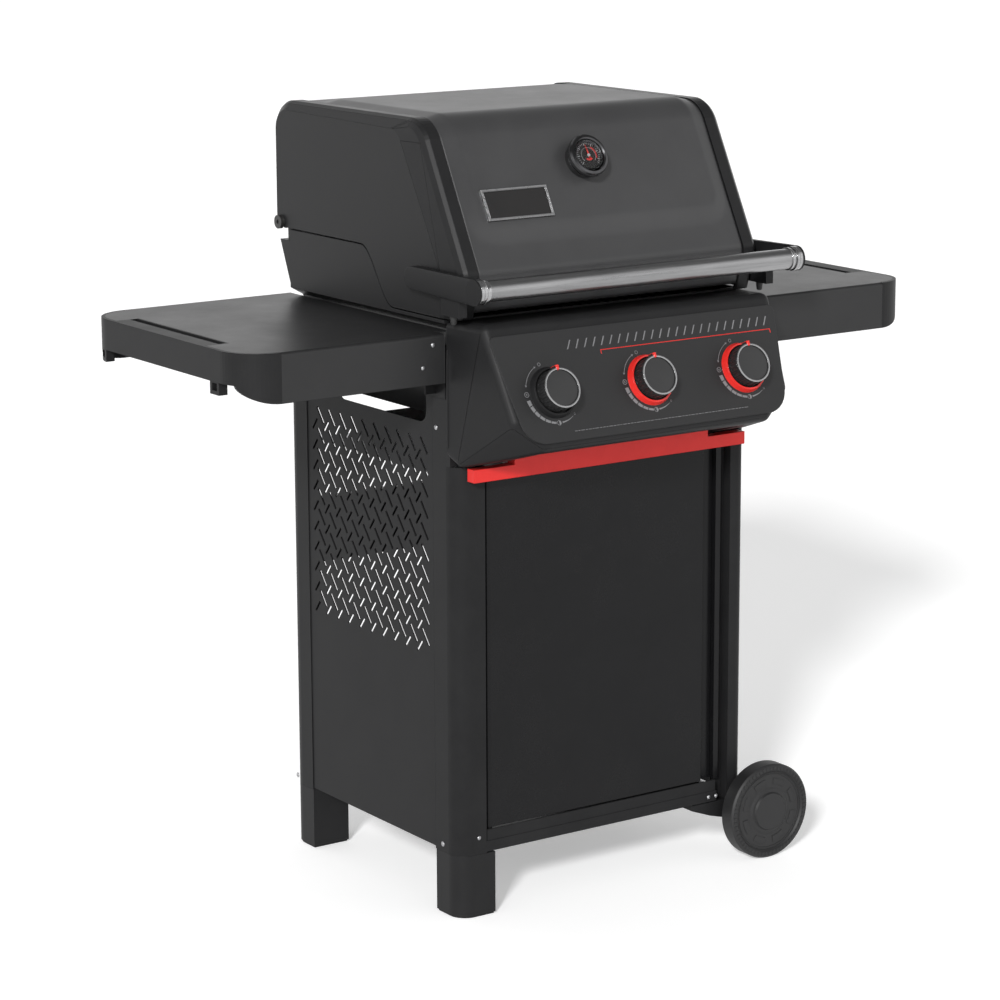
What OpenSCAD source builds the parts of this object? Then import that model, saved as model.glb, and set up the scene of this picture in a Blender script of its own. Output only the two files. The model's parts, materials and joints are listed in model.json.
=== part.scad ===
// Three-burner gas barbecue grill on a wheeled cart with two side tables.
// Millimetres, Z up, X to the grill's right, Y to the back.
// The origin is under the middle of the whole grill, on the floor.

/* [Cart] */
// Width of the cart over its posts
cart_w = 554; // [480:1:660]
// Depth of the cart over its posts
cart_d = 496; // [430:1:580]
// Height of the plastic feet
foot_h = 101; // [70:1:130]
// Radius of the rounded corner of each post
post_r = 30; // [18:1:34]
// Width of the left front post across the front
post_front_w = 51; // [42:1:70]
// Width of each post along the side of the cart
post_side_w = 66; // [50:1:84]
// Thickness of the folded sheet in the cart
sheet_t = 2.5; // [1.5:0.1:3]
// Height of the door's bottom edge above the floor
door_z0 = 140; // [130:1:170]
// Height of the door's top edge above the floor
door_z1 = 688; // [600:1:688]
// Width of the finger recess down the right of the door
pull_w = 25; // [18:1:36]
// Thickness of the base panel
base_t = 2.5; // [1.5:0.1:4]
// Pitch of the slots in the side panels
slot_pitch = 33.5; // [28:0.5:40]
// Height of the rear brace panel
brace_h = 108; // [60:1:160]

/* [Wheels] */
// Diameter of each wheel
wheel_d = 158; // [140:1:180]
// Thickness of each wheel
wheel_t = 34; // [24:1:38]
// Diameter of the steel axle
axle_d = 12; // [8:1:16]
// How far the axle stands outside the cart's right side
axle_out = 31; // [25:1:60]

/* [Tables] */
// Width of the whole grill over both side tables
overall_w = 1270; // [1180:1:1400]
// Height of the table tops above the floor
table_z = 920; // [900:1:924]
// Depth of each table from front skirt to back edge
table_d = 480; // [400:1:500]
// Height of the front skirt of each table
skirt_h = 75; // [50:1:90]
// Width of the bar outside each towel slot
bar_w = 29; // [24:1:40]
// Radius of the outer corners of each table
end_r = 65; // [50:1:80]
// Width of the towel slot in each table end
towel_slot_w = 13; // [10:1:18]

/* [Firebox] */
// Wall thickness of the cast cookbox
box_t = 6; // [4:0.5:8]
// Height of the cooking grates above the floor
grate_z = 900; // [890:1:912]
// Distance from the middle burner to each outer one
burner_pitch = 180; // [160:1:190]
// Diameter of each burner tube
burner_d = 24; // [18:1:28]

/* [Lid] */
// Width of the lid over its end castings
lid_w = 566; // [560:1:580]
// Width of each end casting's front band
lid_band = 33; // [28:1:46]
// Height of the line where the lid meets the cookbox
split_z = 1028; // [1022:1:1034]
// Thickness of the sheet lid
lid_t = 3; // [2:0.1:4]
// Diameter of the tubular handle
handle_d = 32; // [26:1:36]
// Diameter of the ring at each end of the handle
ring_d = 38; // [37:1:44]
// Diameter of the thermometer bezel
thermo_d = 68; // [50:1:80]
// Diameter of each lid hinge pin
lid_pin_d = 10; // [8:1:12]

/* [Controls] */
// Lean of the control fascia away from upright in degrees
fascia_tilt = 24.7; // [15:0.1:32]
// Diameter of each control knob
knob_d = 62; // [52:1:66]
// How far each knob stands out of the fascia
knob_out = 28; // [22:1:34]
// Diameter of each knob's valve stem
stem_d = 8; // [6:0.5:10]

/* [Grease tray] */
// Height of the tray's floor above the cart floor level
tray_z = 698; // [698:1:706]
// Depth of the sliding grease tray
tray_d = 400; // [320:1:430]

/* [Hidden] */
$fn = 48;

// The cart is set back so that the whole grill is centred over the origin
cart_y = 55.1;
half_w = cart_w / 2;
half_d = cart_d / 2;
eps = 0.01;

// Clearances
turn_gap = 0.05;
move_gap = 0.3;
seam = 1.5;

// Posts
post_top = 900;
post_step_z = 714;
post_step = 18;
return_w = 12;
door_post_w = post_r;
door_post_r = 15;

// Door
door_y = -half_d + 4;
door_axis_r = 8;
door_axis_x = -half_w + post_front_w + 4 + door_axis_r;
door_axis_y = door_y + door_axis_r;
door_right = half_w - door_post_w - 16;
stop_w = door_post_w - 10;
door_lip = 10;
pull_depth = 12;
door_pin_r = 3;
door_pin_h = 12;

// Tray and header
header_z = 690;
header_h = 7;
tray_half = half_w - post_front_w - 31;
tray_h = 30;
tray_wall = 1.5;
tray_front_y = -half_d - 20;
tray_front_t = 18;
tray_front_half = half_w - 18;
tray_front_z0 = 694;
tray_front_low = 714;
tray_front_high = 740;

// Cookbox
box_z0 = 770;
box_half = lid_w / 2 - 1;
box_low_half = half_w - 15;
box_front = -half_d + 24;
box_back = half_d - 28;
curve_y0 = -83;
curve_y1 = 7;
curve_z0 = 938;
curve_z1 = split_z - 2;

// Lid section: crown and nose circles joined by the sloping front
lid_half = lid_w / 2;
lid_back = half_d + 22;
rear_r = 46;
rear_z = 1184;
crown_r = 57;
crown_y = -120;
crown_z = 1174;
nose_r = 25;
nose_y = -half_d + 2;
nose_z = 1005;
lip_y = -half_d - 5;
lip_z = 950;
front_run = sqrt(pow(crown_y - nose_y, 2) + pow(crown_z - nose_z, 2));
lid_slope = atan((crown_y - nose_y) / (crown_z - nose_z)) - asin((crown_r - nose_r) / front_run);
raise = 4;
hinge_y = lid_back - 25;
hinge_z = split_z + 8;
shroud_half = lid_half - lid_band - 1;

// Handle
handle_y = -336;
handle_z = 995.3;
handle_half = lid_half + 8;
ring_w = 11;
arm_t = 3;

// Controls
fascia_y = -360;
fascia_z = 838;
fascia_t = 2;
shell_t = 3;
shell_half = half_w + 7;
shell_back = -230;
bezel_r = 40;
bezel_h = 9;
knob_gap = 4;
stem_len = 44;
washer_r = 12;
washer_in = 3;
washer_out = 3.7;
shell_hole_r = washer_r + 2;

// Wheels
wheel_r = wheel_d / 2;
axle_x = half_w + axle_out;
wheel_in_y = half_d + 6;
axle_r = axle_d / 2;

// Tables
table_out = overall_w / 2;
table_front = -235;
table_roll = 5;
table_in = half_w - 9;
skirt_in = half_w + 11;
table_sheet = 2.5;
end_low = 48;
rim_w = 6;
end_wall = 3;

module placed() {
  translate([0, cart_y, 0])
    children();
}

// Turns a section drawn in Y and Z into a solid from x0 to x1
module across(x0, x1) {
  translate([x0, 0, 0])
    rotate([90, 0, 90])
      linear_extrude(x1 - x0)
        children();
}

module block(x0, x1, y0, y1, z0, z1) {
  translate([x0, y0, z0])
    cube([x1 - x0, y1 - y0, z1 - z0]);
}

// Plan of a folded corner: w across, d deep, outer corner at the origin
module corner_plan(w, d, r, t) {
  difference() {
    translate([r, r])
      circle(r);
    translate([r, r])
      circle(r - t);
    translate([r, -1])
      square([2 * r, 2 * r + 2]);
    translate([-1, r])
      square([2 * r + 2, 2 * r]);
  }
  translate([0, r])
    square([t, d - r]);
  if (w > r)
    translate([r, 0])
      square([w - r, t]);
}

module left_front_post() {
  translate([-half_w, -half_d, foot_h])
    linear_extrude(post_step_z - foot_h) {
      corner_plan(post_front_w, post_side_w, post_r, sheet_t);
      translate([post_front_w - sheet_t, sheet_t])
        square([sheet_t, return_w + 8]);
      translate([sheet_t, post_side_w - sheet_t])
        square([return_w, sheet_t]);
    }
  upper_post();
}

module right_front_post() {
  translate([half_w, -half_d, foot_h])
    mirror([1, 0, 0])
      linear_extrude(post_step_z - foot_h) {
        corner_plan(door_post_w, post_side_w, door_post_r, sheet_t);
        translate([door_post_w - sheet_t, sheet_t - 0.5])
          square([sheet_t, return_w + 6]);
        translate([door_post_w - sheet_t, sheet_t + return_w + 2.5])
          square([stop_w, sheet_t]);
        translate([sheet_t, post_side_w - sheet_t])
          square([return_w, sheet_t]);
      }
  mirror([1, 0, 0])
    upper_post();
}

// Post above the door, stepped back behind the control shell
module upper_post() {
  z0 = post_step_z - eps;
  front = shell_back;
  side_end = -half_d + post_side_w;
  block(-half_w, -half_w + sheet_t, front, side_end, z0, post_top);
  block(-half_w, -half_w + 15, front, front + sheet_t, z0, post_top);
  block(-half_w, -half_w + sheet_t + return_w, side_end - sheet_t, side_end, z0, post_top);
}

module back_post() {
  translate([-half_w, half_d, foot_h])
    mirror([0, 1, 0])
      linear_extrude(post_top - foot_h) {
        corner_plan(post_front_w, post_side_w - 3, post_r, sheet_t);
        translate([post_front_w - sheet_t, sheet_t])
          square([sheet_t, return_w]);
        translate([sheet_t, post_side_w - 3 - sheet_t])
          square([return_w, sheet_t]);
      }
}

// Side panel between the posts, with slots in a woven pattern
panel_y0 = -half_d + post_side_w;
panel_y1 = half_d - post_side_w + 3;
panel_x = half_w - 1.5;
slot_rows = 10;
slot_cols = 10;
slot_y0 = panel_y0 + 26;
slot_top = 736;
long_slot = 31;
short_slot = 22;
slot_w = 4.5;

module left_side_panel() {
  cut_y0 = panel_y0 + 19;
  cut_y1 = panel_y1 - 95;
  cut_z0 = 772;
  cut_r = 18;
  difference() {
    block(-panel_x, -panel_x + 2, panel_y0, panel_y1, foot_h + 3, 880);
    block(-panel_x - 1, -panel_x + 3, cut_y0, cut_y1, cut_z0 + cut_r, 840);
    block(-panel_x - 1, -panel_x + 3, cut_y0 + cut_r, cut_y1 - cut_r, cut_z0, 840);
    for (y = [cut_y0 + cut_r, cut_y1 - cut_r])
      translate([-panel_x - 1, y, cut_z0 + cut_r])
        rotate([0, 90, 0])
          cylinder(r = cut_r, h = 4);
    for (i = [0 : slot_cols - 1])
      for (j = [0 : slot_rows - 1]) {
        y = slot_y0 + i * slot_pitch;
        z = slot_top - j * slot_pitch;
        translate([-panel_x + 1, y, z])
          rotate([-38, 0, 0])
            cube([6, slot_w, long_slot], center = true);
        translate([-panel_x + 1, y + slot_pitch / 2, z - slot_pitch / 2])
          rotate([38, 0, 0])
            cube([6, slot_w, short_slot], center = true);
      }
  }
}

module base_floor() {
  z0 = foot_h + 19;
  mid_half = half_w - post_front_w - 2;
  lip_z1 = door_z0 - 2;
  block(-mid_half, mid_half, -half_d + 1, half_d - 1, z0, z0 + base_t);
  block(-panel_x + 2, panel_x - 2, panel_y0 + 1, panel_y1 - 1, z0, z0 + base_t);
  block(-mid_half, mid_half, -half_d + 1, -half_d + 1 + base_t, z0, lip_z1);
  block(-mid_half, mid_half, half_d - 1 - base_t, half_d - 1, z0, lip_z1 + 20);
  translate([door_axis_x, door_axis_y, z0])
    cylinder(r = 5.5, h = door_z0 - move_gap - z0);
  translate([door_axis_x, door_axis_y, z0])
    cylinder(r = door_pin_r, h = door_z0 + door_pin_h - z0);
}

module rail_front() {
  z0 = foot_h + 2;
  z1 = foot_h + 19;
  edge = half_w - post_front_w;
  block(-edge, edge, -half_d, -half_d + sheet_t, z0, z1);
  block(-edge, edge, -half_d, -half_d + 28, z1 - sheet_t, z1);
}

module brace_panel() {
  z0 = 470;
  edge = half_w - post_front_w;
  block(-edge, edge, half_d - sheet_t, half_d, z0, z0 + brace_h);
  block(-edge, edge, half_d - 14, half_d, z0, z0 + sheet_t);
  block(-edge, edge, half_d - 14, half_d, z0 + brace_h - sheet_t, z0 + brace_h);
}

module header_rail() {
  left = -half_w + post_front_w;
  right = half_w - door_post_w + sheet_t - stop_w;
  block(left, right, door_y + 4, door_y + 36, header_z, header_z + header_h);
  translate([door_axis_x, door_axis_y, door_z1 - door_pin_h])
    cylinder(r = door_pin_r, h = header_z - door_z1 + door_pin_h + 1);
  translate([door_axis_x, door_axis_y, door_z1 + move_gap])
    cylinder(r = 5.5, h = header_z - door_z1);
}

module left_runner() {
  inner = -tray_half + 14;
  top = tray_z - move_gap;
  block(-panel_x + 2, inner, panel_y0 + 4, panel_y1 - 30, top - sheet_t, top);
  block(-tray_half - 3.5, -tray_half - 1, panel_y0 + 4, panel_y1 - 30, top - sheet_t, top + 16);
}

// Foot: a square sleeve with one large rounded corner
foot_w = 67;
foot_d = 64;
module foot_plan(g) {
  translate([post_r, post_r])
    circle(post_r - g);
  translate([post_r, g])
    square([foot_w - post_r - g, foot_d - 2 * g]);
  translate([g, post_r])
    square([foot_w - 2 * g, foot_d - post_r - g]);
}

module foot_body() {
  difference() {
    union() {
      translate([0, 0, 3])
        linear_extrude(foot_h - 3)
          foot_plan(0);
      linear_extrude(3)
        foot_plan(2);
    }
    translate([0, 0, 8])
      linear_extrude(foot_h)
        foot_plan(5);
  }
}

module front_wheel_bracket() {
  bottom = wheel_r - 20;
  difference() {
    translate([0, -half_d + 45, 0])
      rotate([90, 0, 0])
        linear_extrude(43)
          polygon([
            [half_w - 99, foot_h], [half_w - 99, foot_h - 9], [half_w - 62, foot_h - 23],
            [axle_x - 24, bottom], [axle_x + 14, bottom], [axle_x + 18, wheel_r + 8],
            [half_w, foot_h]]);
    translate([axle_x, -half_d + 50, wheel_r])
      rotate([90, 0, 0])
        cylinder(d = axle_d, h = 60);
  }
}

module axle_rod() {
  reach = wheel_in_y + wheel_t - 4;
  translate([axle_x, reach, wheel_r])
    rotate([90, 0, 0])
      cylinder(d = axle_d, h = 2 * reach);
  for (s = [-1, 1])
    translate([axle_x, s * (half_d + 1.6), wheel_r])
      rotate([90, 0, 0])
        cylinder(r = axle_r + 5, h = 7, center = true);
}

// Wheel about Z with its outer face up
module wheel_body() {
  hub_r = 32;
  rim_r = wheel_r - 12;
  difference() {
    rotate_extrude()
      polygon([
        [0, 0], [hub_r, 0], [hub_r, 3], [hub_r + 4, 7], [rim_r - 4, 7], [rim_r, 2],
        [wheel_r - 3, 2], [wheel_r, 5], [wheel_r, wheel_t - 5], [wheel_r - 3, wheel_t - 2],
        [rim_r + 1, wheel_t - 2], [rim_r - 2, wheel_t - 5], [hub_r + 8, wheel_t - 5],
        [hub_r + 4, wheel_t - 3], [hub_r, wheel_t - 3], [hub_r - 2, wheel_t], [0, wheel_t]],
        $fn = 96);
    translate([0, 0, -1])
      cylinder(r = axle_r + turn_gap, h = wheel_t - 2);
  }
}

module wheel_at(s) {
  translate([axle_x, s * wheel_in_y, wheel_r])
    rotate([-90 * s, 0, 0])
      wheel_body();
}

module door_leaf() {
  skin = 2.5;
  recess_x = door_right - door_lip - pull_w;
  h = door_z1 - door_z0;
  back = door_y + pull_depth - skin;
  difference() {
    translate([0, 0, door_z0])
      linear_extrude(h) {
        translate([door_axis_x, door_axis_y])
          circle(door_axis_r);
        translate([door_axis_x, door_y])
          square([recess_x - door_axis_x, skin]);
        translate([recess_x - skin, door_y])
          square([skin, pull_depth]);
        translate([recess_x - skin, back])
          square([pull_w + door_lip + skin, skin]);
        translate([door_right - door_lip, door_y])
          square([skin, pull_depth]);
        translate([door_right - door_lip, door_y])
          square([door_lip, skin]);
        translate([door_right - skin, door_y])
          square([skin, pull_depth]);
      }
    for (z = [door_z0 - 1, door_z1 - door_pin_h - 1])
      translate([door_axis_x, door_axis_y, z])
        cylinder(r = door_pin_r + turn_gap, h = door_pin_h + 2);
  }
  for (z = [door_z0, door_z1 - skin])
    block(door_axis_x + door_axis_r + 2, recess_x - skin / 2, door_y + eps, back + skin, z, z + skin);
}

module tray_pan() {
  y0 = tray_front_y + tray_front_t;
  difference() {
    block(-tray_half, tray_half, y0, y0 + tray_d, tray_z, tray_z + tray_h);
    block(-tray_half + tray_wall, tray_half - tray_wall, y0 + tray_wall,
      y0 + tray_d - tray_wall, tray_z + tray_wall, tray_z + tray_h + 1);
  }
}

module tray_face() {
  y1 = tray_front_y + tray_front_t;
  skin = 3;
  difference() {
    union() {
      block(-tray_front_half, tray_front_half, tray_front_y, y1, tray_front_z0, tray_front_low);
      block(-tray_front_half + 74, tray_front_half - 74, tray_front_y, y1, tray_front_low - 1,
        tray_front_high);
    }
    block(-tray_front_half + skin, tray_front_half - skin, tray_front_y + skin, y1 - skin,
      tray_front_z0 - 1, tray_front_low - skin);
    block(-tray_front_half + 74 + skin, tray_front_half - 74 - skin, tray_front_y + skin,
      y1 - skin, tray_front_low - skin - 1, tray_front_high - skin);
  }
}

// Points of the curve that the lid and cookbox share, lowered or raised by g
curve_steps = 12;
function curve_pt(k, g) = [
  curve_y0 + (curve_y1 - curve_y0) * k / curve_steps - g,
  curve_z0 + (curve_z1 - curve_z0) * (1 - cos(180 * k / curve_steps)) / 2 + g];

module above_curve(g) {
  polygon(concat(
    [[-400, curve_z0 + g]],
    [for (k = [0 : curve_steps]) curve_pt(k, g)],
    [[400, curve_z1 + g], [400, 1400], [-400, 1400]]));
}

module level(xh, y0, y1, z) {
  block(-xh, xh, y0, y1, z, z + eps);
}

module box_hulls(g) {
  hull() {
    level(box_low_half - 40 - g, box_front + g, box_back - 44 - g, box_z0 + g);
    level(box_low_half - g, box_front + g, box_back - 4 - g, table_z + 1);
  }
  hull() {
    level(box_low_half - g, box_front + g, box_back - 4 - g, table_z + 1);
    level(box_half - g, box_front + g, box_back - g, table_z + 13);
  }
  block(-box_half + g, box_half - g, box_front + g, box_back - g, table_z + 13, curve_z1 + g);
}

module box_casting() {
  ledge = 9;
  bar = box_low_half - box_t - 6;
  difference() {
    union() {
      difference() {
        box_hulls(0);
        box_hulls(box_t);
        across(-400, 400)
          above_curve(0);
        // grease outlet
        block(-70, 70, -90, 70, box_z0 - 1, box_z0 + box_t + 1);
        // burner tube openings
        for (x = [-burner_pitch, 0, burner_pitch])
          translate([x, box_front - 1, burner_z])
            rotate([-90, 0, 0])
              cylinder(d = burner_d + 3, h = box_t + 2);
      }
      // rear wedge below the hinges
      across(-box_half, box_half)
        polygon([
          [box_back - 1, table_z + 20], [box_back, table_z + 20], [hinge_y + 4, hinge_z - 28],
          [box_back - 1, hinge_z - 28]]);
      // ledges for the grates
      block(-bar, bar, box_front + box_t - 1, box_front + box_t + ledge, grate_z - 5, grate_z);
      block(-bar, bar, box_back - 22 - ledge, box_back - box_t - 3, grate_z - 5, grate_z);
      // ledges for the warming rack and ears for the hinge pins
      for (s = [-1, 1]) {
        x0 = s > 0 ? box_half - box_t - ledge : -box_half + box_t - 1;
        block(x0, x0 + ledge + 1, 50, 205, 1000, 1005);
        e0 = s > 0 ? box_half - box_t - 8 : -box_half + box_t + 1;
        block(e0, e0 + 7, hinge_y - 40, hinge_y - 9, hinge_z - 36, hinge_z + 9);
        translate([e0, hinge_y, hinge_z])
          rotate([0, 90, 0])
            cylinder(r = 11, h = 7);
        block(e0, e0 + 7, hinge_y - 12, hinge_y, hinge_z, hinge_z + 9);
        // web from the ear to the side wall
        w0 = s > 0 ? box_half - box_t - 2 : -box_half + box_t - 1;
        block(w0, w0 + 3, hinge_y - 38, hinge_y - 20, hinge_z - 34, curve_z1 - 1);
      }
    }
    translate([-400, hinge_y, hinge_z])
      rotate([0, 90, 0])
        cylinder(r = lid_pin_d / 2 + turn_gap, h = 800);
  }
}

burner_z = 850;
module burner_tube(x) {
  y0 = box_front - 32;
  len = 415;
  difference() {
    translate([x, y0, burner_z])
      rotate([-90, 0, 0])
        cylinder(d = burner_d, h = len);
    translate([x, y0 - 1, burner_z])
      rotate([-90, 0, 0])
        cylinder(d = burner_d - 3, h = len - 3);
    for (i = [0 : 17])
      for (s = [-1, 1])
        translate([x, y0 + 62 + i * 19, burner_z])
          rotate([0, 62 * s, 0])
            cylinder(d = 4, h = burner_d, $fn = 6);
  }
}

module heat_tents() {
  y0 = box_front + box_t + 12;
  y1 = box_back - 44;
  rise = 22;
  half = 34;
  t = 2;
  z0 = burner_z + 14;
  for (x = [-burner_pitch, 0, burner_pitch])
    translate([x, y1, z0])
      rotate([90, 0, 0])
        linear_extrude(y1 - y0)
          polygon([[-half, 0], [0, rise], [half, 0], [half, t], [0, rise + t], [-half, t]]);
  for (y = [y0 + 4, y1 - 12])
    block(-box_low_half + box_t + 17, box_low_half - box_t - 17, y, y + 8, z0 - 2, z0 + 2);
}

// Right-hand cooking grate
module grate_casting() {
  w = box_low_half - box_t - 6;
  y0 = box_front + box_t + 1.5;
  y1 = box_back - 18;
  rib_w = 8;
  pitch = (w - rib_w - 1) / 13;
  for (i = [0 : 13])
    block(1 + i * pitch, 1 + rib_w + i * pitch, y0, y1, grate_z, grate_z + 12);
  for (y = [y0, (y0 + y1) / 2 - 5, y1 - 10])
    block(1, w, y, y + 10, grate_z, grate_z + 8);
}

module rack() {
  end_x = box_half - box_t - 0.5;
  y0 = 60;
  y1 = 195;
  z = 1005;
  rods = 7;
  for (s = [-1, 1])
    translate([s * (end_x - 3), (y0 + y1) / 2, z + 3])
      cube([6, y1 - y0, 6], center = true);
  for (i = [0 : rods - 1])
    translate([-end_x + 2, y0 + 6 + i * (y1 - y0 - 12) / (rods - 1), z + 3])
      rotate([0, 90, 0])
        cylinder(r = 2.5, h = 2 * end_x - 4, $fn = 24);
}

// Places children on the fascia: X right, Y up its slope, Z out of it
module on_fascia(x) {
  translate([x, fascia_y, fascia_z])
    rotate([90 - fascia_tilt, 0, 0])
      children();
}

module gas_manifold() {
  pipe_h = -stem_len - 26;
  nozzle_y = box_front - 28;
  pipe_y = fascia_y - pipe_h * cos(fascia_tilt);
  pipe_z = fascia_z + pipe_h * sin(fascia_tilt);
  pipe_half = burner_pitch + 40;
  difference() {
    union() {
      translate([-pipe_half, pipe_y, pipe_z])
        rotate([0, 90, 0])
          cylinder(r = 9, h = 2 * pipe_half);
      translate([-pipe_half - 14, pipe_y, pipe_z])
        rotate([0, 90, 0])
          cylinder(r = 12, h = 16, $fn = 6);
      for (x = [-burner_pitch, 0, burner_pitch]) {
        on_fascia(x)
          translate([0, 0, pipe_h])
            cylinder(r = 12, h = -pipe_h - 30);
        block(x - 8, x + 8, pipe_y, nozzle_y - 6, pipe_z - 6, burner_z + 9);
        translate([x, nozzle_y - 14, burner_z])
          rotate([-90, 0, 0])
            cylinder(r = 5, h = 16);
        block(x - 8, x + 8, nozzle_y - 14, box_front, burner_z + 18, burner_z + 21);
        block(x - 8, x + 8, nozzle_y - 14, nozzle_y - 6, burner_z, burner_z + 21);
      }
    }
    for (x = [-burner_pitch, 0, burner_pitch])
      on_fascia(x)
        translate([0, 0, -stem_len - 8])
          cylinder(r = stem_d / 2 + move_gap, h = 60);
  }
}

module ball(x, y, z, r) {
  for (s = [-1, 1])
    translate([s * x, y, z])
      sphere(r = r, $fn = 32);
}

// Outer form of the control shell, shrunk by g
module shell_form(g) {
  hull() {
    ball(shell_half - 8, shell_back + 14, 927, 8 - g);
    ball(shell_half - 26, fascia_y + 58, fascia_z + 87.8, 14 - g);
    ball(shell_half - 79, fascia_y - 12.5, fascia_z - 70, 16 - g);
    ball(shell_half - 38, fascia_y + 2.1, fascia_z - 38.2, 16 - g);
    ball(shell_half - 18, shell_back - 22, fascia_z - 108, 13 - g);
    ball(shell_half - 12, shell_back + 14, fascia_z - 90, 12 - g);
  }
}

module shell_cover() {
  difference() {
    shell_form(0);
    shell_form(shell_t);
    block(-400, 400, shell_back, 0, 600, 1000);
    block(-tray_front_half + 62, tray_front_half - 62, -420, -200, 700, tray_front_high + 5);
    // seat of the fascia
    on_fascia(0)
      translate([0, 0, -fascia_t])
        linear_extrude(30)
          fascia_plan();
    for (x = [-burner_pitch, 0, burner_pitch])
      on_fascia(x)
        translate([0, 0, -12])
          cylinder(r = shell_hole_r, h = 20);
  }
  for (s = [-1, 1]) {
    x0 = s > 0 ? half_w - 15 : -shell_half + 1;
    block(x0, x0 + 21, shell_back - 3, shell_back, 745, 895);
  }
}

module fascia_plan() {
  hull() {
    for (s = [-1, 1]) {
      translate([s * (shell_half - 76), -34])
        circle(42, $fn = 32);
      translate([s * (shell_half - 26), 84])
        circle(10, $fn = 32);
    }
  }
}

module fascia_sheet() {
  difference() {
    on_fascia(0)
      translate([0, 0, -fascia_t])
        linear_extrude(fascia_t)
          fascia_plan();
    for (x = [-burner_pitch, 0, burner_pitch])
      on_fascia(x)
        translate([0, 0, -10])
          cylinder(r = shell_hole_r, h = 20);
  }
}

module bezel_at(x) {
  on_fascia(x)
    difference() {
      cylinder(r1 = bezel_r, r2 = bezel_r - 3, h = bezel_h);
      translate([0, 0, -1])
        cylinder(r = knob_d / 2 + 3.5, h = bezel_h + 2);
    }
}

module washer_at(x) {
  on_fascia(x)
    difference() {
      translate([0, 0, -washer_in])
        cylinder(r = washer_r, h = washer_in + washer_out);
      translate([0, 0, -washer_in - 1])
        cylinder(r = stem_d / 2 + turn_gap, h = 20);
    }
}

module knob_at(x) {
  on_fascia(x) {
    difference() {
      translate([0, 0, knob_gap])
        cylinder(d = knob_d + 1, h = knob_out - knob_gap);
      for (a = [0 : 15 : 345])
        rotate([0, 0, a + 7.5])
          translate([knob_d / 2 + 3.5, 0, knob_gap + 5])
            cylinder(r = 4, h = knob_out);
      translate([0, 0, knob_out - 1.2])
        cylinder(d = knob_d - 7, h = 3);
    }
    translate([0, 0, knob_out - 5])
      difference() {
        cylinder(d = knob_d, h = 5);
        translate([0, 0, -1])
          cylinder(d = knob_d - 7, h = 7);
      }
    translate([-2.5, knob_d / 2 - 2, knob_out - 14])
      cube([5, 5.5, 12]);
    translate([0, 0, -stem_len])
      cylinder(d = stem_d, h = stem_len + knob_gap + 1);
  }
}

// Section of a table with its rolled front edge, shrunk by g
module table_section(g) {
  y1 = table_front + table_d;
  z0 = table_z - skirt_h;
  translate([table_front + table_roll, z0 - g])
    square([y1 - table_front - table_roll - g, skirt_h]);
  translate([table_front + g, z0 - g])
    square([table_roll, skirt_h - table_roll + g]);
  translate([table_front + table_roll, table_z - table_roll])
    circle(table_roll - g);
}

// Plan of a table's outer end, shrunk by g, out to the seam with the sheet's straight part
module end_plan(g, past = 0) {
  y1 = table_front + table_d;
  intersection() {
    hull() {
      for (y = [y1 - end_r, table_front + end_r])
        translate([-table_out + end_r, y])
          circle(end_r - g, $fn = 64);
    }
    translate([-table_out, table_front])
      square([end_r + past, table_d]);
  }
}

towel_x0 = -table_out + bar_w;
towel_x1 = towel_x0 + towel_slot_w;
towel_y0 = table_front + 119;
towel_y1 = table_front + table_d - 88;
towel_wall = 2.5;

// The part of the sheet that lies in the moulded end, notched for the slot
module end_sheet_plan() {
  difference() {
    end_plan(rim_w, 1);
    translate([-table_out, towel_y0 - towel_wall])
      square([bar_w + towel_slot_w + towel_wall, towel_y1 - towel_y0 + 2 * towel_wall]);
  }
}

module left_table() {
  difference() {
    across(-table_out + end_r, -table_in)
      table_section(0);
    across(-table_out - 1, -table_in + 10)
      table_section(table_sheet);
    block(-skirt_in, -table_in + 10, -400, 400, 700, table_z - 10);
    block(-skirt_in, -table_in + 10, -400, shell_back + 22, 700, table_z + 5);
  }
  translate([0, 0, table_z - table_sheet])
    linear_extrude(table_sheet)
      end_sheet_plan();
}

// Cut that sweeps the lower edge up from the skirt round each corner
module end_sweep() {
  steps = 10;
  outer = -table_out + 8;
  run = end_r - 8;
  lift = skirt_h - end_low;
  z0 = table_z - skirt_h;
  translate([0, 400, 0])
    rotate([90, 0, 0])
      linear_extrude(800)
        polygon(concat(
          [[-table_out - 5, z0 - 5], [-table_out - 5, z0 + lift]],
          [for (k = [0 : steps])
            let (a = 90 * k / steps)
            [outer + run * (1 - cos(a)), z0 + lift * (1 - sin(a))]],
          [[-table_out + end_r + 5, z0], [-table_out + end_r + 5, z0 - 5]]));
}

module left_table_end() {
  z0 = table_z - skirt_h;
  z1 = table_z - end_low;
  under = table_z - table_sheet - 2.5;
  difference() {
    union() {
      difference() {
        translate([0, 0, z0])
          linear_extrude(skirt_h)
            end_plan(0);
        translate([0, 0, z0 - 1])
          linear_extrude(under - z0 + 1)
            end_plan(end_wall);
        translate([0, 0, table_z - table_sheet])
          linear_extrude(10)
            end_sheet_plan();
        end_sweep();
      }
      block(towel_x0 - towel_wall, towel_x1 + towel_wall, towel_y0 - towel_wall, towel_y1 + towel_wall,
        z1 + 10, under + 1);
    }
    block(towel_x0, towel_x1, towel_y0, towel_y1, z0 - 1, table_z + 1);
  }
  // hooks under the outer wall
  intersection() {
    linear_extrude(table_z)
      end_plan(0.6);
    for (y = [table_front + 84, table_front + table_d - 48])
      difference() {
        block(-table_out, -table_out + 15, y - 13, y + 13, z1 - 19, z1 + 6);
        block(-table_out - 1, -table_out + 16, y - 7, y + 7, z1 - 13, z1 - 2);
      }
  }
}

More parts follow.
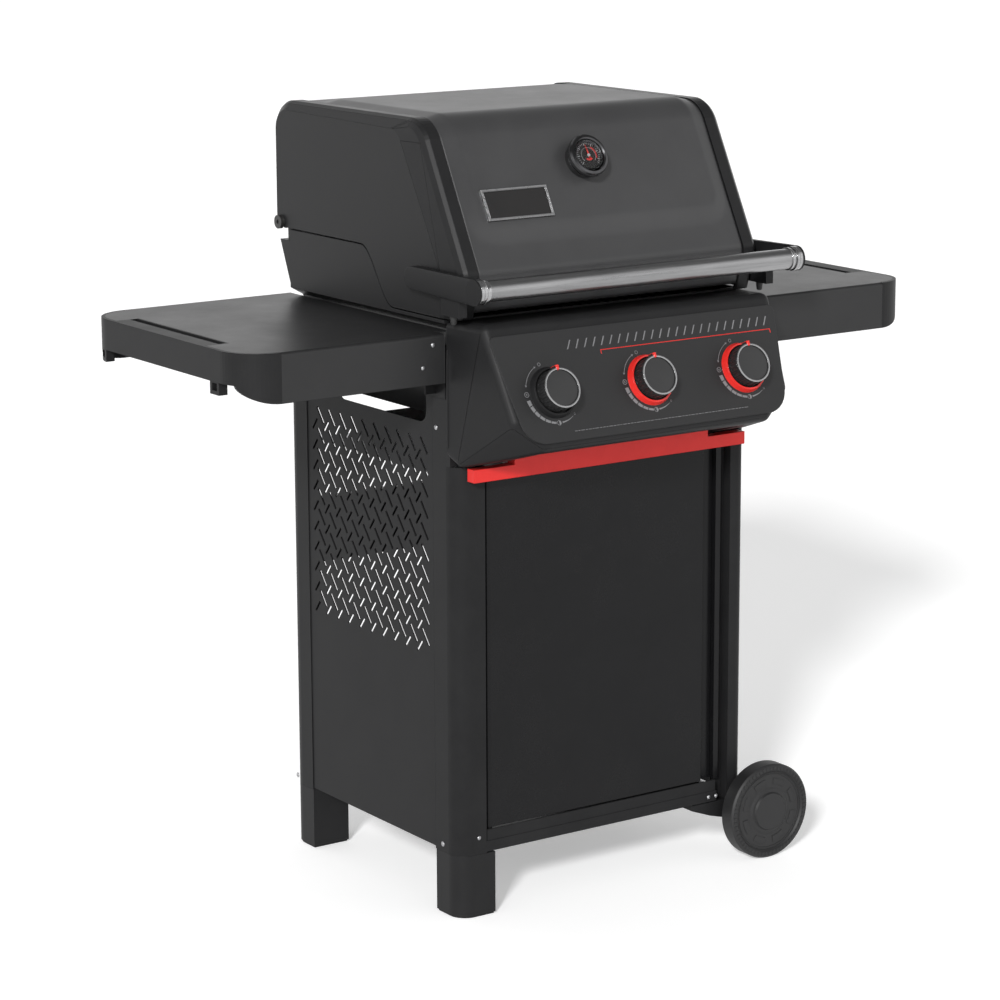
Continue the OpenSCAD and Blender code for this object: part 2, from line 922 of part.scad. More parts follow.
module left_bracket() {
  x0 = -table_out + end_r + 14;
  x1 = -half_w;
  top = table_z - table_sheet;
  for (y = [-half_d + 50, half_d - 53]) {
    block(x0, x1, y, y + 3, top - 42, top);
    block(x1 - 3, x1, y - 24, y + 27, top - 100, top - 22);
    block(x1 - 22, x1, y, y + 3, top - 94, top - 20);
  }
  block(x0, x0 + 3, -half_d + 50, half_d - 50, top - 42, top);
}

// Section of the lid, shrunk by g
module lid_section(g) {
  hull() {
    translate([lid_back - rear_r, rear_z])
      circle(rear_r - g);
    translate([crown_y, crown_z])
      circle(crown_r - g);
    translate([nose_y, nose_z])
      circle(nose_r - g);
    translate([lip_y + g, curve_z0])
      square([60, 1]);
    translate([lid_back - 60, curve_z0])
      square([60 - g, 1]);
  }
}

// Part of a lid section above z0 and in front of y1
module upper_section(g, z0, y1) {
  intersection() {
    lid_section(g);
    translate([-400, z0])
      square([400 + y1, 400]);
  }
}

module shroud() {
  bevel = 27;
  edge = shroud_half - 1;
  difference() {
    union() {
      across(-shroud_half, shroud_half)
        lid_section(2);
      hull() {
        across(-edge + bevel, edge - bevel)
          upper_section(-raise, 1072, 190);
        across(-edge, edge)
          upper_section(2, 1042, 203);
      }
    }
    across(-400, 400)
      lid_section(2 + lid_t);
    across(-edge + bevel, edge - bevel)
      upper_section(lid_t - raise, 1076, 186);
    across(-400, 400)
      translate([-500, 800])
        square([500, lip_z - 800]);
    across(-400, 400)
      translate([-100, 800])
        square([500, split_z + 4 - 800]);
    on_lid(thermo_x, thermo_s)
      translate([0, 0, -12])
        cylinder(r = 7, h = 30);
  }
}

// Outline of the flat side face, which stands back from the front and the crown
module face_section() {
  hull() {
    translate([lid_back - rear_r, rear_z])
      circle(rear_r - 14);
    translate([crown_y + 38, crown_z + 6])
      circle(crown_r - 25);
    translate([nose_y + 48, nose_z - 5])
      circle(nose_r - 5);
    translate([lip_y + 40, curve_z0])
      square([60, 1]);
    translate([lid_back - 80, curve_z0])
      square([66, 1]);
  }
}

module left_lid_end() {
  wall = 9;
  side_wall = 7;
  difference() {
    hull() {
      across(-lid_half + 14, -lid_half + lid_band)
        lid_section(0);
      across(-lid_half + 8, -lid_half + 9)
        lid_section(4);
      across(-lid_half + 4, -lid_half + 5)
        lid_section(13);
      across(-lid_half, -lid_half + 0.5)
        face_section();
    }
    across(-lid_half + side_wall, 0)
      lid_section(wall);
    difference() {
      across(-400, 0)
        translate([-500, 800])
          square([1000, 700]);
      across(-401, 1)
        above_curve(seam + 1);
    }
    translate([-400, hinge_y, hinge_z])
      rotate([0, 90, 0])
        cylinder(d = lid_pin_d, h = 400);
  }
}

module left_lid_pin() {
  head = 6;
  difference() {
    union() {
      translate([-lid_half - head, hinge_y, hinge_z])
        rotate([0, 90, 0])
          cylinder(r = 11, h = head);
      translate([-lid_half - 1, hinge_y, hinge_z])
        rotate([0, 90, 0])
          cylinder(d = lid_pin_d, h = 20);
    }
    translate([-lid_half - head - 1, hinge_y, hinge_z])
      rotate([0, 90, 0])
        cylinder(r = 4, h = 3, $fn = 6);
  }
}

// Places children on the raised face of the lid, s down the slope
module on_lid(x, s) {
  translate([x, crown_y, crown_z])
    rotate([90 - lid_slope, 0, 0])
      translate([0, -s, crown_r + raise])
        children();
}

thermo_x = -12;
thermo_s = 53.4;
badge_x = -151.6;
badge_s = 112.8;

module thermometer_case() {
  r = thermo_d / 2;
  difference() {
    on_lid(thermo_x, thermo_s)
      union() {
        rotate_extrude($fn = 64)
          polygon([
            [0, 0], [r - 8, 0], [r - 8, 12], [r - 3, 14], [r, 17], [r, 23], [r - 2, 26],
            [r - 6, 27], [r - 8, 25], [r - 10, 20], [0, 20]]);
        translate([0, 0, -50])
          cylinder(r = 3, h = 52);
        translate([0, 0, -raise - 2 - lid_t - 5])
          cylinder(r = 6, h = 16);
      }
  }
}

module dial_disc() {
  on_lid(thermo_x, thermo_s)
    translate([0, 0, 20])
      cylinder(r = thermo_d / 2 - 10.2, h = 1.5, $fn = 64);
}

module badge() {
  w = 120;
  h = 50;
  on_lid(badge_x, badge_s)
    difference() {
      translate([-w / 2, -h / 2, 0])
        cube([w, h, 4]);
      translate([-w / 2 + 4, -h / 2 + 4, 2.8])
        cube([w - 8, h - 8, 4]);
    }
}

module grip_tube() {
  translate([-handle_half, handle_y, handle_z])
    rotate([0, 90, 0])
      cylinder(d = handle_d, h = 2 * handle_half);
  for (s = [-1, 1])
    translate([s * (handle_half + ring_w / 2), handle_y, handle_z])
      rotate([0, 90, 0]) {
        cylinder(d = ring_d, h = ring_w, center = true);
        // thin second ring on the tube side
        translate([0, 0, -s * (ring_w / 2 + 4)])
          cylinder(d = ring_d - 3, h = 7, center = true);
      }
}

module left_arm() {
  x_out = -handle_half - ring_w;
  difference() {
    hull() {
      translate([x_out - arm_t, handle_y, handle_z])
        rotate([0, 90, 0])
          cylinder(d = ring_d + 1, h = arm_t, $fn = 32);
      translate([-lid_half - 14, handle_y + 180, handle_z])
        rotate([0, 90, 0])
          cylinder(r = 17, h = 14, $fn = 32);
    }
    translate([x_out, handle_y, handle_z])
      rotate([0, 90, 0])
        cylinder(d = ring_d, h = 60);
  }
  // foot of the arm under the lid's lower front edge
  block(-lid_half - 14, -lid_half, handle_y + 49, handle_y + 98, lip_z, handle_z - 10);
}

black = [0.06, 0.06, 0.065];
grey = [0.2, 0.2, 0.21];
dark = [0.12, 0.12, 0.125];
red = [0.75, 0.08, 0.06];
steel = [0.7, 0.7, 0.7];

module post_front_left() color(black) placed() left_front_post();
module post_front_right() color(black) placed() right_front_post();
module post_back_left() color(black) placed() back_post();
module post_back_right() color(black) placed() mirror([1, 0, 0]) back_post();
module side_panel_left() color(black) placed() left_side_panel();
module side_panel_right() color(black) placed() mirror([1, 0, 0]) left_side_panel();
module base_panel() color(black) placed() base_floor();
module front_rail() color(black) placed() rail_front();
module rear_brace() color(black) placed() brace_panel();
module door_header() color(black) placed() header_rail();
module tray_runner_left() color(steel) placed() left_runner();
module tray_runner_right() color(steel) placed() mirror([1, 0, 0]) left_runner();
module foot_front_left() color(dark) placed() translate([-half_w, -half_d, 0]) foot_body();
module foot_back_left()
  color(dark) placed() translate([-half_w, half_d, 0]) mirror([0, 1, 0]) foot_body();
module wheel_bracket_front() color(dark) placed() front_wheel_bracket();
module wheel_bracket_back() color(dark) placed() mirror([0, 1, 0]) front_wheel_bracket();
module axle() color(steel) placed() axle_rod();
module wheel_front() color(dark) placed() wheel_at(-1);
module wheel_back() color(dark) placed() wheel_at(1);
module door() color(black) placed() door_leaf();
module grease_tray() color(steel) placed() tray_pan();
module tray_front() color(red) placed() tray_face();
module cookbox() color(black) placed() box_casting();
module burner_left() color(steel) placed() burner_tube(-burner_pitch);
module burner_middle() color(steel) placed() burner_tube(0);
module burner_right() color(steel) placed() burner_tube(burner_pitch);
module heat_bars() color(steel) placed() heat_tents();
module grate_left() color(dark) placed() mirror([1, 0, 0]) grate_casting();
module grate_right() color(dark) placed() grate_casting();
module warming_rack() color(steel) placed() rack();
module manifold() color(steel) placed() gas_manifold();
module control_shell() color(dark) placed() shell_cover();
module fascia() color(grey) placed() fascia_sheet();
module bezel_left() color(black) placed() bezel_at(-burner_pitch);
module bezel_middle() color(red) placed() bezel_at(0);
module bezel_right() color(red) placed() bezel_at(burner_pitch);
module washer_left() color(steel) placed() washer_at(-burner_pitch);
module washer_middle() color(steel) placed() washer_at(0);
module washer_right() color(steel) placed() washer_at(burner_pitch);
module knob_left() color(grey) placed() knob_at(-burner_pitch);
module knob_middle() color(grey) placed() knob_at(0);
module knob_right() color(grey) placed() knob_at(burner_pitch);
module table_top_left() color(grey) placed() left_table();
module table_top_right() color(grey) placed() mirror([1, 0, 0]) left_table();
module table_end_left() color(dark) placed() left_table_end();
module table_end_right() color(dark) placed() mirror([1, 0, 0]) left_table_end();
module table_bracket_left() color(black) placed() left_bracket();
module table_bracket_right() color(black) placed() mirror([1, 0, 0]) left_bracket();
module lid_shroud() color(grey) placed() shroud();
module lid_end_left() color(black) placed() left_lid_end();
module lid_end_right() color(black) placed() mirror([1, 0, 0]) left_lid_end();
module lid_pin_left() color(steel) placed() left_lid_pin();
module lid_pin_right() color(steel) placed() mirror([1, 0, 0]) left_lid_pin();
module handle_tube() color(steel) placed() grip_tube();
module handle_arm_left() color(dark) placed() left_arm();
module handle_arm_right() color(dark) placed() mirror([1, 0, 0]) left_arm();
module thermometer() color(steel) placed() thermometer_case();
module thermometer_dial() color(dark) placed() dial_disc();
module badge_plate() color(steel) placed() badge();

post_front_left();
post_front_right();
post_back_left();
post_back_right();
side_panel_left();
side_panel_right();
base_panel();
front_rail();
rear_brace();
door_header();
tray_runner_left();
tray_runner_right();
foot_front_left();
foot_back_left();
wheel_bracket_front();
wheel_bracket_back();
axle();
wheel_front();
wheel_back();
door();
grease_tray();
tray_front();
cookbox();
burner_left();
burner_middle();
burner_right();
heat_bars();
grate_left();
grate_right();
warming_rack();
manifold();
control_shell();
fascia();
bezel_left();
bezel_middle();
bezel_right();
washer_left();
washer_middle();
washer_right();
knob_left();
knob_middle();
knob_right();
table_top_left();
table_top_right();
table_end_left();
table_end_right();
table_bracket_left();
table_bracket_right();
lid_shroud();
lid_end_left();
lid_end_right();
lid_pin_left();
lid_pin_right();
handle_tube();
handle_arm_left();
handle_arm_right();
thermometer();
thermometer_dial();
badge_plate();
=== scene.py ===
import json
import math

import bpy
from mathutils import Matrix, Vector


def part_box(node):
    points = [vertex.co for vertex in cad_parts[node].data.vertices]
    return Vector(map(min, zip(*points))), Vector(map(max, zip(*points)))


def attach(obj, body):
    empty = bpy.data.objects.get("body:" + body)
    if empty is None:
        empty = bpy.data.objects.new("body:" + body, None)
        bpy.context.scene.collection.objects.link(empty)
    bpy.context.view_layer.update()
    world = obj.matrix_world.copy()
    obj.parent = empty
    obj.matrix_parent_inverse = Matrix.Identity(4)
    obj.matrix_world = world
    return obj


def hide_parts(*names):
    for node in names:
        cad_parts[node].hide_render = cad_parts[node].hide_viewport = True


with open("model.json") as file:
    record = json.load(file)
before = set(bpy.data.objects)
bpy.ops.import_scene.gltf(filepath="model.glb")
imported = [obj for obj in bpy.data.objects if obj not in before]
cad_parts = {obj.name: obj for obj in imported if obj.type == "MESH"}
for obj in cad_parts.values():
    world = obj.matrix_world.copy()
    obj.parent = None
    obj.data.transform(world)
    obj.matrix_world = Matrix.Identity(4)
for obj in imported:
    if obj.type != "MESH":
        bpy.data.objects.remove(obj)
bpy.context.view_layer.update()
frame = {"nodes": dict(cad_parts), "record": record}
nodes = frame["nodes"]
print("frame loaded,", len(nodes), "nodes")

milli = Matrix.Scale(0.001, 4)   # trim is drawn in millimetres
printFoot = 0.02                 # underside of every print above its face


# finishes
def coat(name, look):
    finish = bpy.data.materials.new(name)
    finish.use_nodes = True
    tree = finish.node_tree
    shader = tree.nodes["Principled BSDF"]
    shader.inputs["Metallic"].default_value = look.get("metal", 0.0)
    shader.inputs["Specular IOR Level"].default_value = look.get("gloss", 0.3)
    shader.inputs["Coat Weight"].default_value = look.get("coat", 0.0)
    shader.inputs["Coat Roughness"].default_value = look.get("coatRough", 0.25)
    coords = tree.nodes.new("ShaderNodeTexCoord")
    stretch = tree.nodes.new("ShaderNodeMapping")
    stretch.inputs["Scale"].default_value = look.get("stretch", (1.0, 1.0, 1.0))
    tree.links.new(coords.outputs["Object"], stretch.inputs["Vector"])
    # slow colour drift and fine specks share one ramp
    cloud = tree.nodes.new("ShaderNodeTexNoise")
    cloud.inputs["Scale"].default_value = look.get("cloud", 9.0)
    cloud.inputs["Detail"].default_value = 8.0
    cloud.inputs["Roughness"].default_value = 0.72
    tree.links.new(stretch.outputs["Vector"], cloud.inputs["Vector"])
    tint = tree.nodes.new("ShaderNodeValToRGB")
    tint.color_ramp.elements[0].position = 0.32
    tint.color_ramp.elements[0].color = (*look["dark"], 1.0)
    tint.color_ramp.elements[1].position = 0.68
    tint.color_ramp.elements[1].color = (*look["light"], 1.0)
    tree.links.new(cloud.outputs["Fac"], tint.inputs["Fac"])
    tree.links.new(tint.outputs["Color"], shader.inputs["Base Color"])
    sheen = tree.nodes.new("ShaderNodeMapRange")
    sheen.inputs["From Min"].default_value = 0.3
    sheen.inputs["From Max"].default_value = 0.7
    sheen.inputs["To Min"].default_value = look["rough"][0]
    sheen.inputs["To Max"].default_value = look["rough"][1]
    tree.links.new(cloud.outputs["Fac"], sheen.inputs["Value"])
    tree.links.new(sheen.outputs["Result"], shader.inputs["Roughness"])
    grain = tree.nodes.new("ShaderNodeTexNoise")
    grain.inputs["Scale"].default_value = look.get("grain", 700.0)
    grain.inputs["Detail"].default_value = 3.0
    tree.links.new(stretch.outputs["Vector"], grain.inputs["Vector"])
    edge = tree.nodes.new("ShaderNodeBevel")
    edge.samples = 4
    edge.inputs["Radius"].default_value = look.get("edge", 0.0012)
    relief = tree.nodes.new("ShaderNodeBump")
    relief.inputs["Strength"].default_value = look.get("bump", 0.12)
    relief.inputs["Distance"].default_value = 0.0004
    tree.links.new(grain.outputs["Fac"], relief.inputs["Height"])
    tree.links.new(edge.outputs["Normal"], relief.inputs["Normal"])
    tree.links.new(relief.outputs["Normal"], shader.inputs["Normal"])
    return finish


looks = {
    "cartBlack": {"dark": (0.012, 0.012, 0.0125), "light": (0.016, 0.016, 0.0165),
                  "rough": (0.36, 0.44), "gloss": 0.08, "grain": 900.0, "bump": 0.1},
    "doorBlack": {"dark": (0.0045, 0.0045, 0.005), "light": (0.006, 0.006, 0.0065),
                  "rough": (0.22, 0.29), "gloss": 0.17, "grain": 700.0, "bump": 0.04},
    "castBlack": {"dark": (0.01, 0.01, 0.0105), "light": (0.014, 0.014, 0.0145),
                  "rough": (0.34, 0.44), "gloss": 0.16, "grain": 620.0, "bump": 0.16,
                  "edge": 0.002},
    "shroudGrey": {"dark": (0.032, 0.032, 0.033), "light": (0.038, 0.038, 0.039),
                   "rough": (0.38, 0.45), "gloss": 0.36, "grain": 800.0, "bump": 0.1,
                   "edge": 0.003},
    "tableGrey": {"dark": (0.013, 0.013, 0.0135), "light": (0.017, 0.017, 0.0175),
                  "rough": (0.38, 0.46), "gloss": 0.3, "grain": 800.0, "bump": 0.12, "edge": 0.002},
    "fasciaGrey": {"dark": (0.013, 0.013, 0.0135), "light": (0.016, 0.016, 0.0165),
                   "rough": (0.42, 0.5), "gloss": 0.3, "grain": 900.0, "bump": 0.08},
    "darkPlastic": {"dark": (0.0085, 0.0085, 0.009), "light": (0.012, 0.012, 0.0125),
                    "rough": (0.44, 0.54), "gloss": 0.17, "grain": 480.0, "bump": 0.2,
                    "edge": 0.0018},
    "wheelPlastic": {"dark": (0.008, 0.008, 0.0085), "light": (0.013, 0.013, 0.0135),
                     "rough": (0.5, 0.62), "gloss": 0.4, "grain": 420.0, "bump": 0.25,
                     "edge": 0.0015},
    "knobPlastic": {"dark": (0.012, 0.012, 0.0125), "light": (0.018, 0.018, 0.0185),
                    "rough": (0.34, 0.42), "gloss": 0.45, "grain": 800.0, "bump": 0.1,
                    "edge": 0.0008},
    "redPlastic": {"dark": (0.55, 0.016, 0.012), "light": (0.68, 0.024, 0.018),
                   "rough": (0.26, 0.34), "gloss": 0.5, "grain": 700.0, "bump": 0.06,
                   "edge": 0.0008},
    "redEnamel": {"dark": (0.5, 0.016, 0.014), "light": (0.58, 0.022, 0.019),
                  "rough": (0.38, 0.46), "gloss": 0.25, "grain": 800.0, "bump": 0.1,
                  "edge": 0.0015},
    "tubeSteel": {"dark": (0.2, 0.2, 0.203), "light": (0.36, 0.36, 0.364), "metal": 1.0,
                  "rough": (0.24, 0.36), "cloud": 60.0, "grain": 900.0, "bump": 0.1,
                  "stretch": (0.04, 1.0, 1.0)},
    "innerSteel": {"dark": (0.3, 0.3, 0.3), "light": (0.42, 0.42, 0.42), "metal": 1.0,
                   "rough": (0.32, 0.45), "cloud": 30.0, "grain": 600.0, "bump": 0.12},
    "chrome": {"dark": (0.34, 0.34, 0.345), "light": (0.44, 0.44, 0.445), "metal": 1.0,
               "rough": (0.1, 0.18), "cloud": 40.0, "grain": 500.0, "bump": 0.02, "edge": 0.0006},
    "gunMetal": {"dark": (0.055, 0.055, 0.057), "light": (0.085, 0.085, 0.088), "metal": 1.0,
                 "rough": (0.16, 0.26), "cloud": 40.0, "grain": 500.0, "bump": 0.04,
                 "edge": 0.0006},
    "zinc": {"dark": (0.32, 0.32, 0.33), "light": (0.46, 0.46, 0.47), "metal": 1.0,
             "rough": (0.34, 0.48), "cloud": 120.0, "grain": 500.0, "bump": 0.12},
    "grateIron": {"dark": (0.012, 0.012, 0.012), "light": (0.022, 0.021, 0.02),
                  "rough": (0.4, 0.55), "gloss": 0.5, "cloud": 40.0, "grain": 260.0, "bump": 0.4},
    "alloy": {"dark": (0.42, 0.42, 0.42), "light": (0.54, 0.54, 0.54), "metal": 1.0,
              "rough": (0.36, 0.5), "cloud": 25.0, "grain": 300.0, "bump": 0.15},
    "printGrey": {"dark": (0.14, 0.14, 0.145), "light": (0.18, 0.18, 0.185),
                  "rough": (0.5, 0.6), "bump": 0.05},
    "printPale": {"dark": (0.48, 0.48, 0.49), "light": (0.58, 0.58, 0.59),
                  "rough": (0.5, 0.6), "bump": 0.05},
    "printRed": {"dark": (0.56, 0.02, 0.016), "light": (0.64, 0.028, 0.02),
                 "rough": (0.45, 0.55), "bump": 0.05},
    "ringSilver": {"dark": (0.28, 0.28, 0.285), "light": (0.38, 0.38, 0.385), "metal": 1.0,
                   "rough": (0.24, 0.34), "cloud": 90.0, "bump": 0.06, "edge": 0.0004},
    "dialBlack": {"dark": (0.008, 0.008, 0.008), "light": (0.013, 0.012, 0.012),
                  "rough": (0.5, 0.6), "bump": 0.05},
    "rubber": {"dark": (0.02, 0.02, 0.02), "light": (0.032, 0.032, 0.032),
               "rough": (0.6, 0.75), "grain": 350.0, "bump": 0.25},
}
finishes = {name: coat(name, look) for name, look in looks.items()}


def glassCoat(name):
    finish = coat(name, {"dark": (0.9, 0.92, 0.93), "light": (1.0, 1.0, 1.0), "rough": (0.02, 0.05),
                         "gloss": 0.5, "bump": 0.0, "edge": 0.0004})
    shader = finish.node_tree.nodes["Principled BSDF"]
    shader.inputs["Transmission Weight"].default_value = 1.0
    shader.inputs["IOR"].default_value = 1.15
    return finish


finishes["clearGlass"] = glassCoat("clearGlass")

nodeFinish = {
    "cartBlack": ["post_front_left", "post_front_right", "post_back_left", "post_back_right",
                  "side_panel_left", "side_panel_right", "base_panel", "front_rail", "rear_brace",
                  "door_header", "table_bracket_left", "table_bracket_right"],
    "doorBlack": ["door"],
    "castBlack": ["cookbox", "lid_end_left", "lid_end_right"],
    "shroudGrey": ["lid_shroud"],
    "tableGrey": ["table_top_left", "table_top_right"],
    "fasciaGrey": ["fascia"],
    "darkPlastic": ["foot_front_left", "foot_back_left", "wheel_bracket_front",
                    "wheel_bracket_back", "table_end_left", "table_end_right", "control_shell",
                    "bezel_left", "handle_arm_left", "handle_arm_right"],
    "wheelPlastic": ["wheel_front", "wheel_back"],
    "knobPlastic": ["knob_left", "knob_middle", "knob_right"],
    "redPlastic": ["bezel_middle", "bezel_right"],
    "redEnamel": ["tray_front"],
    "tubeSteel": ["handle_tube", "badge_plate"],
    "innerSteel": ["burner_left", "burner_middle", "burner_right", "warming_rack", "heat_bars"],
    "gunMetal": ["thermometer"],
    "zinc": ["tray_runner_left", "tray_runner_right", "axle", "washer_left", "washer_middle",
             "washer_right"],
    "grateIron": ["grate_left", "grate_right", "lid_pin_left", "lid_pin_right"],
    "alloy": ["manifold", "grease_tray"],
    "dialBlack": ["thermometer_dial"],
}
for finishName, members in nodeFinish.items():
    for member in members:
        slots = nodes[member].data.materials
        if len(slots) == 0:
            slots.append(finishes[finishName])
        for i in range(len(slots)):
            slots[i] = finishes[finishName]
print("finishes set")


# shaping
class Form:
    # gathers parts of one piece, drawn in millimetres in its own place

    def __init__(self, place):
        self.place = place @ milli
        self.points = []
        self.faces = []
        self.soft = []

    def put(self, points, faces, soft=False, shift=None):
        base = len(self.points)
        move = self.place if shift is None else self.place @ shift
        self.points.extend(move @ Vector(p) for p in points)
        self.faces.extend(tuple(base + i for i in face) for face in faces)
        self.soft.extend([soft] * len(faces))

    def slab(self, outline, low, high, shift=None, inset=0.0):
        # outline in X and Y made solid from low to high, top edge chamfered by inset
        count = len(outline)
        cx = sum(p[0] for p in outline) / count
        cy = sum(p[1] for p in outline) / count
        rings = [[(x, y, low) for x, y in outline]]
        if inset > 0:
            rings.append([(x, y, high - inset) for x, y in outline])
            top = []
            for x, y in outline:
                away = math.hypot(x - cx, y - cy)
                pull = 1 - inset / max(away, inset * 2)
                top.append((cx + (x - cx) * pull, cy + (y - cy) * pull, high))
            rings.append(top)
        else:
            rings.append([(x, y, high) for x, y in outline])
        points = [p for ring in rings for p in ring]
        faces = [tuple(reversed(range(count)))]
        for r in range(len(rings) - 1):
            for i in range(count):
                j = (i + 1) % count
                faces.append((r * count + i, r * count + j, (r + 1) * count + j,
                              (r + 1) * count + i))
        faces.append(tuple((len(rings) - 1) * count + i for i in range(count)))
        self.put(points, faces, False, shift)

    def turned(self, profile, count=48, shift=None):
        # closed profile of (radius, height) spun about Z
        points = []
        faces = []
        size = len(profile)
        for i in range(count):
            turn = 2 * math.pi * i / count
            points.extend((r * math.cos(turn), r * math.sin(turn), h) for r, h in profile)
        for i in range(count):
            j = (i + 1) % count
            for k in range(size):
                m = (k + 1) % size
                if profile[k][0] < 1e-6 and profile[m][0] < 1e-6:
                    continue
                if profile[k][0] < 1e-6:
                    faces.append((i * size + k, j * size + m, i * size + m))
                elif profile[m][0] < 1e-6:
                    faces.append((i * size + k, j * size + k, i * size + m))
                else:
                    faces.append((i * size + k, j * size + k, j * size + m, i * size + m))
        self.put(points, faces, True, shift)

    def arc(self, inner, outer, start, end, low, high, steps=24, taper=1.0, shift=None):
        # curved bar round Z, angles in degrees, width scaled to taper at its end
        outline = []
        mid = (inner + outer) / 2
        half = (outer - inner) / 2
        for side in (1, -1):
            for k in range(steps + 1):
                part = k / steps if side > 0 else 1 - k / steps
                turn = math.radians(start + (end - start) * part)
                radius = mid + side * half * (1 + (taper - 1) * part)
                outline.append((radius * math.cos(turn), radius * math.sin(turn)))
        if end > start:
            outline.reverse()
        count = len(outline)
        points = [(x, y, low) for x, y in outline] + [(x, y, high) for x, y in outline]
        faces = []
        for k in range(steps):
            a, b = k, k + 1
            c, d = count - 2 - k, count - 1 - k
            faces.append((a, d, c, b))
            faces.append((count + a, count + b, count + c, count + d))
        for i in range(count):
            j = (i + 1) % count
            faces.append((i, j, count + j, count + i))
        self.put(points, faces, False, shift)

    def piece(self, name, finishName, body, slotName):
        mesh = bpy.data.meshes.new(name)
        mesh.from_pydata([tuple(p) for p in self.points], [], self.faces)
        mesh.update()
        for polygon, soft in zip(mesh.polygons, self.soft):
            polygon.use_smooth = soft
        mesh.materials.append(finishes[finishName])
        obj = bpy.data.objects.new(name, mesh)
        bpy.context.scene.collection.objects.link(obj)
        bpy.context.view_layer.objects.active = obj
        weld = obj.modifiers.new("weld", "WELD")
        weld.merge_threshold = 0.000005
        obj.select_set(True)
        bpy.ops.object.modifier_apply(modifier=weld.name)
        bpy.ops.object.mode_set(mode="EDIT")
        bpy.ops.mesh.select_all(action="SELECT")
        bpy.ops.mesh.normals_make_consistent(inside=False)
        bpy.ops.object.mode_set(mode="OBJECT")
        bpy.ops.object.shade_smooth_by_angle(angle=math.radians(40))
        obj.select_set(False)
        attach(obj, body)
        return obj


def seat(origin, up, across=Vector((1, 0, 0))):
    # matrix that stands at origin with Z along up and X as near across as it can be
    z = Vector(up).normalized()
    y = z.cross(Vector(across)).normalized()
    x = y.cross(z)
    turned = Matrix((x, y, z)).transposed().to_4x4()
    return Matrix.Translation(Vector(origin)) @ turned


def rectangle(x0, x1, y0, y1):
    return [(x0, y0), (x1, y0), (x1, y1), (x0, y1)]


def roundedRectangle(x0, x1, y0, y1, radius, steps=6):
    outline = []
    for cx, cy, first in ((x1 - radius, y1 - radius, 0), (x0 + radius, y1 - radius, 90),
                          (x0 + radius, y0 + radius, 180), (x1 - radius, y0 + radius, 270)):
        for k in range(steps + 1):
            turn = math.radians(first + 90 * k / steps)
            outline.append((cx + radius * math.cos(turn), cy + radius * math.sin(turn)))
    return outline


recordJoints = {j["name"]: j for j in frame["record"]["behaviour"]["joints"]}


# control panel print
panel = {"lift": 0.22, "hashes": 25, "hashFrom": -133.0, "hashTo": 242.0, "hashLow": 62.5,
         "hashHigh": 76.5, "hashLean": 8.0, "hashWidth": 2.4, "redLeft": -76.0, "redRight": 251.0,
         "redUp": 55.0, "redWidth": 1.3, "redDrop": 5.5, "lineLeft": -158.0, "lineRight": 164.0,
         "lineUp": -62.0, "lineHalf": 0.5, "lineRuns": (5.0, 3.2, 7.0, 4.2), "lineGap": 1.6}
turnJoint = recordJoints["middle_knob_turn"]
panelPlace = seat(turnJoint["pos_m"], turnJoint["axis"])


def panelPrint():
    grey = Form(panelPlace)
    top = panel["lift"]
    step = (panel["hashTo"] - panel["hashFrom"]) / (panel["hashes"] - 1)
    w = panel["hashWidth"]
    for i in range(panel["hashes"]):
        x = panel["hashFrom"] + i * step
        grey.slab([(x - w, panel["hashLow"]), (x, panel["hashLow"]),
                   (x + panel["hashLean"], panel["hashHigh"]),
                   (x + panel["hashLean"] - w, panel["hashHigh"])], printFoot, top)
    # fine dashed line along the bottom
    x = panel["lineLeft"]
    y = panel["lineUp"]
    half = panel["lineHalf"]
    index = 0
    while x < panel["lineRight"]:
        run = panel["lineRuns"][index % len(panel["lineRuns"])]
        grey.slab(rectangle(x, x + run, y - half, y + half), printFoot, top)
        x += run + panel["lineGap"]
        index += 1
    grey.piece("panel_marks", "printGrey", "cart", "grey_enamel")
    red = Form(panelPlace)
    up = panel["redUp"]
    w = panel["redWidth"]
    red.slab(rectangle(panel["redLeft"], panel["redRight"], up, up + w), printFoot, top)
    for x in (panel["redLeft"], panel["redRight"] - w):
        red.slab(rectangle(x, x + w, up - panel["redDrop"], up), printFoot, top)
    red.piece("panel_red_line", "printRed", "cart", "red_plastic")


knobMarks = {"radius": 46.5, "lift": 0.22, "offAt": 105, "lightFrom": 118, "lightTo": 160,
             "lineHalf": 0.5, "tipTurn": 4, "tipHalf": 2, "fullAt": 178, "barFrom": 189,
             "barStep": 12.4, "barRun": 11, "bars": 6, "barHalf": 3.3, "barThin": 0.3,
             "barTaper": 0.94, "lowAt": 268, "tailFrom": 275, "tailTo": 304, "tailHalf": 1.3,
             "tailTaper": 0.2, "endAt": 309}


